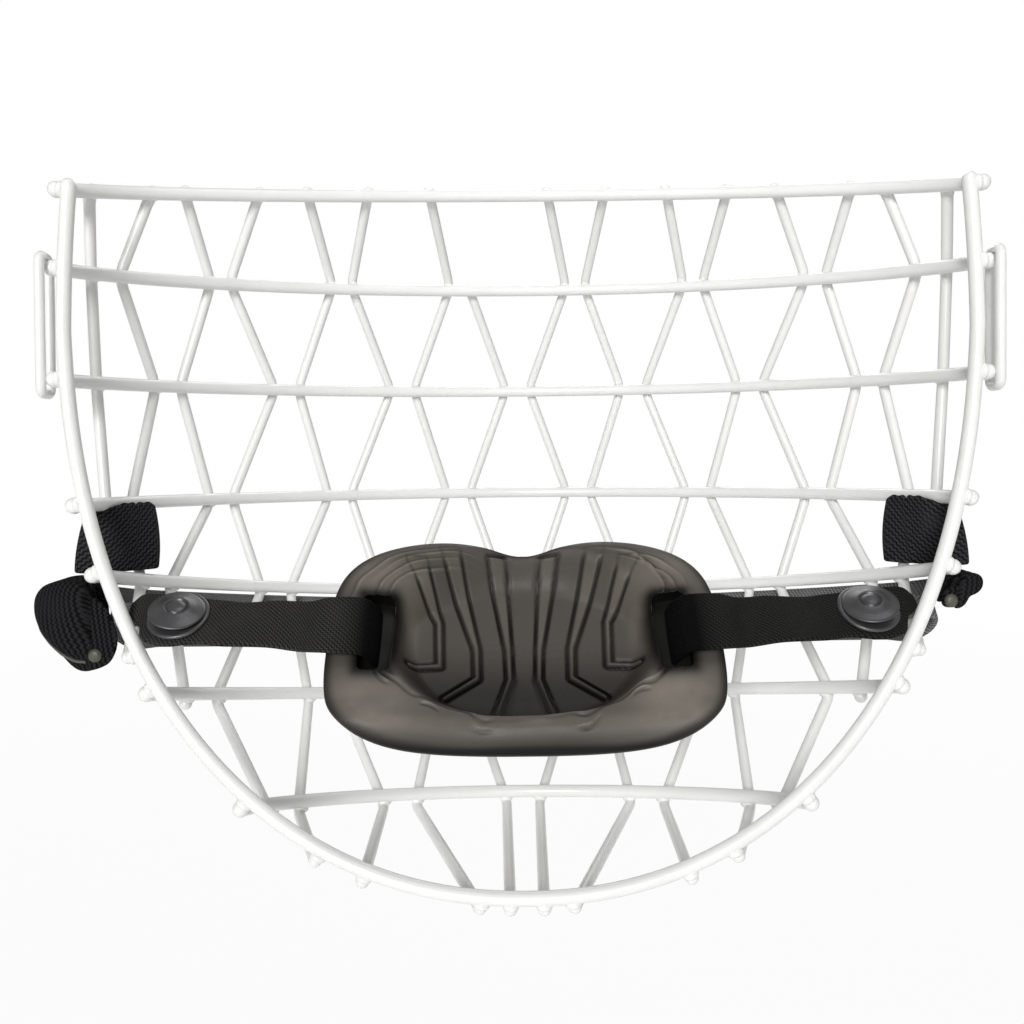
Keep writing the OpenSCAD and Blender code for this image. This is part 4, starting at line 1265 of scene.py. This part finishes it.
def strap_lines(scene):
    """Places of the chin strap, first in the snap's frame and then in the cup's, and of the outer strap's end

    Each place ends with the share of the strap's width and the lean of its face there."""
    form = CupForm(scene.mask_cup)
    snap_x = scene.mask_straps.snap_x / MM
    t = scene.mask_straps.thickness / MM
    over = t / 2 + 0.85
    out, inn = SLOT_X + SLOT_GAP / 2, SLOT_X - SLOT_GAP / 2
    edge, y = form.half_w, SLOT_Y
    behind = -form.depth - form.wall - over

    def high(x):
        """Height of the cup's face where it curves round the jaw"""
        return form.wrap * x * x

    tab = [(12.3, 4, -1.1, 0.28, 37), (11, 3.9, -0.6, 0.48, 37), (9, 3, 0, 0.62, 37), (7.2, 0.8, 0, 0.9, 37),
           (4.5, 0, 0, 1, 37), (-7.8, -1.1, 0, 0.88, 37), (-10.8, -1.6, 0, 1, 29),
           (edge + 12 - snap_x, -2.6, 0.8, 1, 32)]
    chin = [(edge + 5.5, y + 1.4, high(edge) - 2, 1, 36), (edge, y - 0.3, high(edge) + over - 0.4, 1, 42),
            (out + 2.3, y - 0.3, high(out + 2.3) + over + 0.5, 1, 45),
            (out - 0.8, y - 0.2, high(out) + over + 0.1, 1, 45),
            (out - 2.5, y, high(out) - 1.2, 1, 45), (SLOT_X - 0.3, y, -3, 1, 45),
            (inn + 1.7, y, -3 * 0.55 + behind * 0.45, 1, 45), (inn - 1.6, y, behind + 2.3, 1, 45),
            (inn - 6.2, y, behind + 0.1, 1, 45), (inn / 2, y, behind, 1, 45)]
    low = -t - STRAP_GAP
    under = [(-7.5, 0.5, low, 0.84, 37), (4.5, 1.2, low, 0.84, 37), (6.7, 2.2, low, 0.7, 37),
             (9, 3.3, low - 0.2, 0.58, 37), (11.5, 4.2, low - 1, 0.5, 37), (17.2, 4.7, low - 1.9, 0.5, 37)]
    return tab, chin, under


def strap_rings(places, lean, middle, half, side):
    """Rings of a strap from places in a leaning frame"""
    rings = []
    for x, y, z, share, face_lean in places:
        a = math.radians(face_lean)
        wide = np.array([0.0, math.cos(a), math.sin(a)])
        rings.append((to_side(leant((x, y, z), lean, middle), side), wide, [share * half]))
    return rings


def snap_middle(side=RIGHT):
    """Middle of the chin strap's upper layer under a snap"""
    return side * bpy.context.scene.mask_straps.snap_x / MM, SNAP_Y, SNAP_Z


def add_chin_strap(tab, chin, half, t):
    """The strap from snap to snap through both slots, with painted shade inside them and over its right half
    """
    ends = {}
    for side in (LEFT, RIGHT):
        ends[side] = (strap_rings(tab, SNAP_LEAN, snap_middle(), half, side)
                      + strap_rings(chin, CUP_LEAN, CUP_MIDDLE, half, side))
    mesh = webbing("chin_webbing", ends[LEFT] + ends[RIGHT][::-1], t, 24, 0.6)
    strap = finish_mesh("chin_webbing", mesh, "cage", ["chin_strap"])
    x = np.array([v.co.x for v in mesh.vertices]) / MM
    # Painted shade: full where the strap runs into the slots, and a lesser share over its right half
    dark = np.clip(1.3 * hump(np.abs(x), 32.5, 6.0) + 0.5 * smooth_step(x / 20), 0, 1)
    mesh.attributes.new("painted_shade", "FLOAT", "POINT").data.foreach_set("value", dark.astype(np.float32))
    paint(strap, get_material("chin_weave"))


def add_outer_strap(under, half, t):
    """The strap from stud to stud round the front of the cage, over its fourth and fifth cross wires"""
    upper, lower = cage_bows()[4:6]
    off, spare = 5.9, 0.5
    round_cage = []
    for share in np.arange(-0.9, 0.91, 0.075):
        side = LEFT if share < 0 else RIGHT
        s4, s5 = abs(share) * upper.length, abs(share) * lower.length
        up = upper.point(s4) - lower.point(s5)
        middle = 0.75 * upper.point(s4) + 0.25 * lower.point(s5)
        out = outward(unit(np.cross(up, upper.tangent(s4))), middle)
        round_cage.append((to_side(middle + off * out, side), unit(to_side(up, side)), [half + spare]))
    ends = {side: strap_rings(under, SNAP_LEAN, snap_middle(), half, side) for side in (LEFT, RIGHT)}
    mesh = webbing("outer_webbing", ends[LEFT] + round_cage + ends[RIGHT][::-1], t)
    strap = finish_mesh("outer_webbing", mesh, "cage", ["outer_strap"])
    paint(strap, get_material("outer_weave"))


class MASK_OT_chin_strap(bpy.types.Operator):
    """Makes the chin strap that runs through the cup, and the outer strap round the front of the cage"""
    bl_idname = "mask.chin_strap"
    bl_label = "Chin and Outer Straps"

    def execute(self, context):
        straps = context.scene.mask_straps
        half, t = straps.width / MM / 2, straps.thickness / MM
        tab, chin, under = strap_lines(context.scene)
        add_chin_strap(tab, chin, half, t)
        add_outer_strap(under, half, t)
        return {"FINISHED"}


# Snaps

def lathe(profile, segments=72):
    """A turned form: profile points are radius and height"""
    points = []
    for r, h in profile:
        for j in range(segments):
            a = 2 * math.pi * j / segments
            points.append((r * math.cos(a), r * math.sin(a), h))
    return np.array(points), skin(len(profile), segments) + end_faces(len(profile), segments)


def eased(points, steps=5):
    """A profile with every inner corner taken off by a short curve"""
    out = [points[0]]
    for k in range(1, len(points) - 1):
        a, b, c = (np.array(points[k + d], float) for d in (-1, 0, 1))
        start = b + (a - b) * min(0.35, 0.3 / max(0.01, np.linalg.norm(a - b)))
        end = b + (c - b) * min(0.35, 0.3 / max(0.01, np.linalg.norm(c - b)))
        for j in range(steps):
            t = j / (steps - 1)
            out.append(tuple((1 - t) ** 2 * start + 2 * t * (1 - t) * b + t * t * end))
    out.append(points[-1])
    return out


# Radius and height of a snap's washer and of its stud, and how high the cap's rim stands over the washer
WASHER_R, WASHER_H = 7.1, 0.9
STUD_R, STUD_H = 4.8, 1.6
CAP_LIFT = 1.95


def snap_profiles(cap_r):
    """Profiles of a snap's washer, its domed cap with a ring round its middle, and its stud"""
    washer = [(0.05, 0), (WASHER_R - 0.3, 0), (WASHER_R, 0.25), (WASHER_R - 0.15, 0.7),
              (WASHER_R - 0.6, WASHER_H), (0.05, WASHER_H)]
    shares = [(0.5, -0.9), (0.9, -0.35), (1, 0), (0.99, 0.25), (0.93, 0.45), (0.7, 0.85), (0.46, 1.45),
              (0.41, 1.45), (0.37, 1.1), (0.34, 1.1), (0.31, 1.45), (0.17, 1.75)]
    cap = [(0.05, -0.9)] + [(cap_r * share, h) for share, h in shares] + [(0.05, 1.8)]
    stud = [(0.05, 0.3), (STUD_R * 0.35, 0.3), (STUD_R * 0.5, 0), (STUD_R * 0.85, 0.1),
            (STUD_R, STUD_H * 0.5), (STUD_R, STUD_H), (0.05, STUD_H)]
    return washer, cap, stud


class MASK_OT_snaps(bpy.types.Operator):
    """Makes the snap on each side: washer and domed cap in front of the strap, stud behind it"""
    bl_idname = "mask.snaps"
    bl_label = "Snaps"

    def execute(self, context):
        straps = context.scene.mask_straps
        t = straps.thickness / MM
        washer, cap, stud = snap_profiles(straps.cap_d / MM / 2)
        stud_z = -t - STRAP_GAP - t / 2 - STUD_H
        tip = Matrix.Rotation(math.radians(-CAP_TILT), 3, "X")
        turn = Matrix.Rotation(math.radians(CAP_TURN), 3, "Y")
        for side, label in SIDES:
            parts = {}
            heights = {"washer": t / 2, "cap": t / 2 + CAP_LIFT, "stud": stud_z}
            for kind, profile in (("washer", washer), ("cap", cap), ("stud", stud)):
                points, faces = lathe(eased(profile))
                if kind == "cap":
                    points = points @ np.array(tip @ turn).T * np.array([-side, 1, 1])
                    faces = [face[::-side] for face in faces]
                points = points + np.array([0.0, 0.0, heights[kind]])
                places = leant(points, SNAP_LEAN, snap_middle(side))
                parts[kind] = new_mesh(f"snap_{kind}", places * MM, faces)
            whole = join_meshes("snap_cap", [parts["washer"], parts["cap"]])
            for kind, mesh in (("cap", whole), ("stud", parts["stud"])):
                node = f"snap_{kind}_{label}"
                thing = finish_mesh(f"strap_{kind}_{label}", mesh, "cage", [node])
                paint(thing, get_material("snap_finish"))
        return {"FINISHED"}


# Side straps

# Shares of the way between the loop's bends, with how far its upper edge dips there
LOOP_DIPS = ((0.2, 0.25), (0.4, 0.05), (0.5, 0.9), (0.6, 0.05), (0.8, 0.25))
LOOP_SAG = 1.5


def loop_rings(bows, width, side):
    """Rings of the loop that runs behind the third cross wire and round the outermost zigzag wire below it"""
    bow = bows[3]
    bend, heart = (LOOP_OUT + LOOP_IN) / 2, (LOOP_OUT - LOOP_IN) / 2

    def place(back, off, dip=0.0):
        """A place of the upper edge, back from the wire's end and out from it, and how far it dips"""
        s = bow.length - back
        t = bow.tangent(s)
        return bow.point(s) + off * unit(np.array([-t[1], t[0], 0.0])) + np.array([0.0, 0.0, LOOP_TOP]), dip

    def turned(back, turn):
        """A place on the loop's round end"""
        a = math.radians(turn)
        return place(back + bend * math.sin(a), heart + bend * math.cos(a), LOOP_SAG * abs(math.sin(a)))

    reach = LOOP_OUTER - LOOP_INNER
    line = [turned(LOOP_INNER, turn) for turn in range(0, 181, 20)]
    line += [place(LOOP_INNER + share * reach, -LOOP_IN, dip) for share, dip in LOOP_DIPS]
    line += [turned(LOOP_OUTER, turn) for turn in range(180, 361, 20)]
    line += [place(LOOP_OUTER - share * reach, LOOP_OUT) for share in (0.25, 0.5, 0.75)]
    high, low = bow.point(bend_at(bows, 3, 0)), bows[4].point(bend_at(bows, 4, 0))
    inner_drop = width * (low - high) / (high[2] - low[2])
    outer_drop = np.array([LOOP_SWING, -2.0, -width])
    depths = [p[1] for p, dip in line]
    rings = []
    for p, dip in line:
        share = (p[1] - min(depths)) / (max(depths) - min(depths))
        drop = outer_drop * (1 - share) + inner_drop * share
        length = np.linalg.norm(drop)
        middle = (p + drop * dip / length + p + drop) / 2
        rings.append((to_side(middle, side), to_side(-drop / length, side), [(length - dip) / 2]))
    return rings


def rounded_ring(outline, rounds=2):
    """A closed outline whose corners are cut off again and again"""
    ring = np.array(outline, float)
    for _ in range(rounds):
        after = np.roll(ring, -1, axis=0)
        ring = np.stack([0.75 * ring + 0.25 * after, 0.25 * ring + 0.75 * after], 1).reshape(-1, 2)
    return ring


# Direction across a folded end's roll, as shares out and up, and the roll's half width
ROLL_OUT, ROLL_UP, ROLL_HALF = 0.78, 0.62, 7.5


def pillow(outline, middle_y, half, side, corner, roll=0.0):
    """A soft layer cut to an outline of places out and up from a corner

    A roll swells its near face along a slanting line."""
    ring = rounded_ring(outline)
    centre = ring.mean(0)
    n = len(ring)
    shares = [0.12, 0.3, 0.48, 0.64, 0.78, 0.88, 0.95, 0.985, 1.0]
    points = []
    for near, order in ((True, shares), (False, shares[-2::-1])):
        for share in order:
            flat = centre + share * (ring - centre)
            edge = half * (1 - share ** 8) ** 0.5
            off = ((flat - centre) @ np.array([ROLL_OUT, ROLL_UP])) / ROLL_HALF
            swell = roll * np.clip(1 - off * off, 0, 1) * (1 - share ** 6)
            y = middle_y - edge - swell if near else np.full(n, middle_y + edge)
            points.append(np.stack([side * (corner[0] + flat[:, 0]), y, corner[1] + flat[:, 1]], -1))
    faces = skin(len(points), n) + end_faces(len(points), n)
    points = np.concatenate(points)
    along = points[:, 0] * ROLL_UP * side - ROLL_OUT * points[:, 2]
    across = points[:, 0] * ROLL_OUT * side + ROLL_UP * points[:, 2] + points[:, 1]
    uvs = np.stack([along, across], -1)[[k for face in faces for k in face]]
    mesh = new_mesh("layer", points * MM, faces, uvs * MM)
    bm = bmesh.new()
    bm.from_mesh(mesh)
    bmesh.ops.recalc_face_normals(bm, faces=bm.faces)
    bm.to_mesh(mesh)
    bm.free()
    return mesh


def join_meshes(name, meshes):
    """One mesh from several"""
    bm = bmesh.new()
    for mesh in meshes:
        bm.from_mesh(mesh)
        bpy.data.meshes.remove(mesh)
    whole = bpy.data.meshes.new(name)
    bm.to_mesh(whole)
    bm.free()
    return whole


# Outlines of the folded ends' layers, as places out from the loop and up from the fold's top
FOLD_OUTLINES = {
    LEFT: [(1.5, 0), (6, 0.3), (9, -0.2), (11.4, -1.2), (13, -3.6), (13.5, -7), (13, -11), (10.6, -15.4),
           (7, -20), (5.2, -21.6), (3.4, -22.2), (1.0, -21.7), (-0.4, -19), (-0.4, -3)],
    RIGHT: [(1.5, 0.1), (4.7, 0), (6.1, -1.0), (6.2, -3.0), (4.8, -4.8), (2.4, -5.6), (1.3, -8.4),
            (-0.6, -8.4), (0, -4)],
}
# The left end's nearest layer
ROLL_OUTLINE = [(1.5, 0), (6, 0.3), (9, -0.2), (11.4, -1.4), (12.9, -3.8), (13.1, -7), (12.3, -10),
                (10.6, -13.2), (8.4, -15.8), (5.8, -17.8), (3.2, -18.7), (0.8, -18.6), (-0.4, -17.6),
                (-0.4, -3)]
# The tongues that reach inwards behind the rim
TONGUES = {
    LEFT: [(-5.2, -9.5), (-3, -5), (2.3, -2), (2.3, -21.5), (-1.3, -20.8), (-4.4, -19.2), (-6.2, -14.5)],
    RIGHT: [(-3.1, -5.6), (-2.1, -3.4), (2.3, -2.6), (2.3, -6.6), (0.9, -8.2), (-3.1, -8.2)],
}
# Route of the corded edge along the left end's foot, with its radius, and the rivets' middles
PIPING = [(13.1, -8.8), (12.2, -12.0), (10.3, -14.9), (7.7, -17.5), (4.8, -19.1), (1.8, -19.4), (-0.6, -19.0)]
PIPING_R = 0.38
RIVETS = {LEFT: (-0.9, -17.4), RIGHT: (-1.3, -6.4)}
# A rivet's profile as radius and height
RIVET_PROFILE = [(0.05, 0), (1.6, 0), (1.6, 0.44), (1.12, 0.93), (0.48, 1.1), (0.05, 1.1)]
# Number of a folded end's layers, the place forward of the farthest and the nearest one and their pitch, half
# the thickness of a layer and of the tongue, how far the nearest layer swells, and the gap below the loop
FOLD_LAYERS = 4
FOLD_FAR, FOLD_PITCH = 4.8, 2.8
FOLD_NEAR = FOLD_FAR - (FOLD_LAYERS - 1) * FOLD_PITCH
LAYER_HALF, TONGUE_HALF = 1.36, 0.7
FOLD_ROLLS = {LEFT: 1.7, RIGHT: 0.5}
FOLD_GAP = 0.3


def fold_mesh(side, corner):
    """The folded end: its soft layers, and the tongue that reaches behind the rim"""
    layers = []
    for k in range(FOLD_LAYERS):
        nearest = k == FOLD_LAYERS - 1
        outline = ROLL_OUTLINE if nearest and side == LEFT else FOLD_OUTLINES[side]
        layers.append(pillow(outline, FOLD_FAR - k * FOLD_PITCH, LAYER_HALF, side, corner,
                             FOLD_ROLLS[side] if nearest else 0.0))
    layers.append(pillow(TONGUES[side], FOLD_NEAR, TONGUE_HALF, side, corner))
    return join_meshes("fold", layers)


def rivet_mesh(side, corner):
    """The small rivet on the near face of the folded end's tongue"""
    points, faces = lathe(eased(RIVET_PROFILE), 40)
    x, z = RIVETS[side]
    places = [points[:, 0] + side * (corner[0] + x), FOLD_NEAR - TONGUE_HALF - points[:, 2],
              points[:, 1] + corner[1] + z]
    return new_mesh("rivet", np.stack(places, -1) * MM, faces)


def add_side_strap(bows, side, label, corner):
    """One side's loop on the cage, with the folded end and the rivet that swing on it"""
    straps = bpy.context.scene.mask_straps
    body = f"fold_{label}"
    rings = loop_rings(bows, straps.side_width / MM, side)
    mesh = webbing(f"side_loop_{label}", rings, straps.thickness / MM, 24, 0.5, 0.0, True, 0.6 * side)
    thing = finish_mesh(f"side_webbing_{label}", mesh, "cage", [f"side_loop_{label}"])
    paint(thing, get_material("side_weave"))
    mesh = fold_mesh(side, corner)
    thing = finish_mesh(f"folded_end_{label}", mesh, body, [f"side_fold_{label}"])
    paint(thing, get_material("fold_weave"))
    mesh = rivet_mesh(side, corner)
    thing = finish_mesh(f"end_rivet_{label}", mesh, body, [f"fold_rivet_{label}"])
    paint(thing, get_material("rivet_finish"))


def add_piping(corner):
    """The pale corded edge along the foot of the left folded end"""
    y = FOLD_FAR - 2.5 * FOLD_PITCH - 0.25
    path = [np.array([LEFT * (corner[0] + x), y, corner[1] + z]) for x, z in PIPING]
    path = rounded(path, 1.0, 4)
    thing = path_object("fold_piping", path, [1.0] * len(path))
    apply_tree(thing, wire_group(), {"Radius": PIPING_R * MM, "Sides": 12, "Closed": False,
                                     "Material": get_material("piping_cord")})
    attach(thing, "fold_left")


class MASK_OT_side_straps(bpy.types.Operator):
    """Makes the webbing loop on each side of the cage, and the folded end that hangs outside the rim"""
    bl_idname = "mask.side_straps"
    bl_label = "Side Straps"

    def execute(self, context):
        bows = cage_bows()
        place = bows[3].point(bows[3].length - LOOP_OUTER)
        corner = (place[0], place[2] + LOOP_TOP - context.scene.mask_straps.side_width / MM - FOLD_GAP)
        for side, label in SIDES:
            add_side_strap(bows, side, label, corner)
        add_piping(corner)
        return {"FINISHED"}


# Stage, lights and camera

def stage_material(name, level):
    """A pale floor that the camera and reflections see as white, with a faint shadow near the mask"""
    made = bpy.data.materials.new(name)
    made.use_nodes = True
    tree = made.node_tree
    shader = tree.nodes["Principled BSDF"]
    shader.inputs["Base Color"].default_value = (level, level, level, 1.0)
    shader.inputs["Roughness"].default_value = 0.9
    glow = tree.nodes.new("ShaderNodeEmission")
    glow.inputs["Strength"].default_value = 1.0
    rays = tree.nodes.new("ShaderNodeLightPath")
    seen = math_node(tree, "MAXIMUM", rays.outputs["Is Camera Ray"], rays.outputs["Is Glossy Ray"])
    coords = tree.nodes.new("ShaderNodeTexCoord")
    away = tree.nodes.new("ShaderNodeVectorMath")
    away.operation = "LENGTH"
    tree.links.new(coords.outputs["Object"], away.inputs[0])
    part = math_node(tree, "MULTIPLY", seen, span(tree, away.outputs["Value"], 0.25, 1.5, 0.9, 1.0))
    blend = tree.nodes.new("ShaderNodeMixShader")
    tree.links.new(part, blend.inputs["Fac"])
    tree.links.new(shader.outputs["BSDF"], blend.inputs[1])
    tree.links.new(glow.outputs["Emission"], blend.inputs[2])
    tree.links.new(blend.outputs["Shader"], tree.nodes["Material Output"].inputs["Surface"])
    return made


def add_light(name, place, target, size, power):
    """A round soft lamp aimed at a target"""
    lamp = bpy.data.lights.new(name, "AREA")
    lamp.shape = "DISK"
    lamp.size = size
    lamp.energy = power
    thing = bpy.data.objects.new(name, lamp)
    thing.location = place
    thing.rotation_euler = (Vector(target) - Vector(place)).to_track_quat("-Z", "Y").to_euler()
    bpy.context.scene.collection.objects.link(thing)


def white_world(level):
    """A world that lights the mask at a level and is seen as white"""
    world = bpy.data.worlds.new("studio")
    bpy.context.scene.world = world
    world.use_nodes = True
    tree = world.node_tree
    back = tree.nodes["Background"]
    back.inputs["Color"].default_value = (1.0, 1.0, 1.0, 1.0)
    rays = tree.nodes.new("ShaderNodeLightPath")
    seen = math_node(tree, "MAXIMUM", rays.outputs["Is Camera Ray"], rays.outputs["Is Transmission Ray"])
    strength = math_node(tree, "ADD", math_node(tree, "MULTIPLY", seen, 1.0 - level), level)
    tree.links.new(strength, back.inputs["Strength"])


def place_camera(focal_px):
    """The camera stands on the wearer's side, a little to the left of the middle, and looks slightly down"""
    place = Vector((-3.47, -211.5, -27.1)) * MM
    pitch, yaw, roll = math.radians(4.61), math.radians(0.25), math.radians(0.52)
    forward = Vector((math.sin(yaw) * math.cos(pitch), math.cos(yaw) * math.cos(pitch), -math.sin(pitch)))
    right = Vector((math.cos(yaw), -math.sin(yaw), 0.0))
    up = right.cross(forward)
    turned_right = right * math.cos(roll) - up * math.sin(roll)
    turned_up = right * math.sin(roll) + up * math.cos(roll)
    data = bpy.data.cameras.new("camera")
    data.sensor_width = 36.0
    data.lens = focal_px * data.sensor_width / 1024
    camera = bpy.data.objects.new("camera", data)
    turn = Matrix((turned_right, turned_up, -forward)).transposed()
    camera.matrix_world = Matrix.Translation(place) @ turn.to_4x4()
    bpy.context.scene.collection.objects.link(camera)
    bpy.context.scene.camera = camera


class MASK_OT_stage(bpy.types.Operator):
    """Makes the white floor, the soft lights and the camera"""
    bl_idname = "mask.stage"
    bl_label = "Stage"

    def execute(self, context):
        settings = context.scene.mask_stage
        low = cad_box[0][2] - settings.floor_drop
        half = 6
        corners = [(-half, -half, low), (half, -half, low), (half, half, low), (-half, half, low)]
        floor = bpy.data.objects.new("floor", new_mesh("floor", corners, [(0, 1, 2, 3)]))
        context.scene.collection.objects.link(floor)
        floor.data.materials.append(stage_material("studio_floor", 0.85))
        middle = (0.0, 0.03, -0.04)
        add_light("key", (-0.4, -2.0, 0.56), middle, 0.8, settings.key_power)
        top_share, front_share = 0.05, 0.125
        add_light("top", (0.25, -0.2, 1.0), middle, 0.6, settings.key_power * top_share)
        add_light("front", (0.15, 0.9, 0.7), middle, 0.8, settings.key_power * front_share)
        white_world(settings.world_level)
        place_camera(settings.focal_px)
        return {"FINISHED"}


class MASK_PT_panel(bpy.types.Panel):
    """Lists the mask's sizes, colours and pieces"""
    bl_idname = "MASK_PT_panel"
    bl_label = "Face Mask"
    bl_space_type = "VIEW_3D"
    bl_region_type = "UI"
    bl_category = "Face Mask"

    def draw(self, context):
        for name in SETTINGS:
            group = getattr(context.scene, name)
            box = self.layout.box()
            for key in group.__annotations__:
                box.prop(group, key)
        for maker in OPERATORS:
            self.layout.operator(maker.bl_idname)


SETTINGS = {"mask_wires": MaskWireSettings, "mask_cup": MaskCupSettings, "mask_straps": MaskStrapSettings,
            "mask_stage": MaskStageSettings}
OPERATORS = [MASK_OT_stage, MASK_OT_rim_and_bars, MASK_OT_zigzags, MASK_OT_ear_loops, MASK_OT_welds,
             MASK_OT_chin_cup, MASK_OT_chin_strap, MASK_OT_snaps, MASK_OT_side_straps]


def register():
    """Registers the settings, the operators and the panel"""
    for kind in [*SETTINGS.values(), *OPERATORS, MASK_PT_panel]:
        bpy.utils.register_class(kind)
    for name, kind in SETTINGS.items():
        setattr(bpy.types.Scene, name, bpy.props.PointerProperty(type=kind))


def unregister():
    """Takes them out again"""
    for name in SETTINGS:
        delattr(bpy.types.Scene, name)
    for kind in reversed([*SETTINGS.values(), *OPERATORS, MASK_PT_panel]):
        bpy.utils.unregister_class(kind)


def main():
    """Makes the whole mask and its stage"""
    register()
    bpy.context.scene.view_settings.view_transform = "Standard"
    for maker in OPERATORS:
        group, name = maker.bl_idname.split(".")
        result = getattr(getattr(bpy.ops, group), name)()
        if result != {"FINISHED"}:
            raise RuntimeError(maker.bl_label + " was not made")


if __name__ == "__main__":
    main()
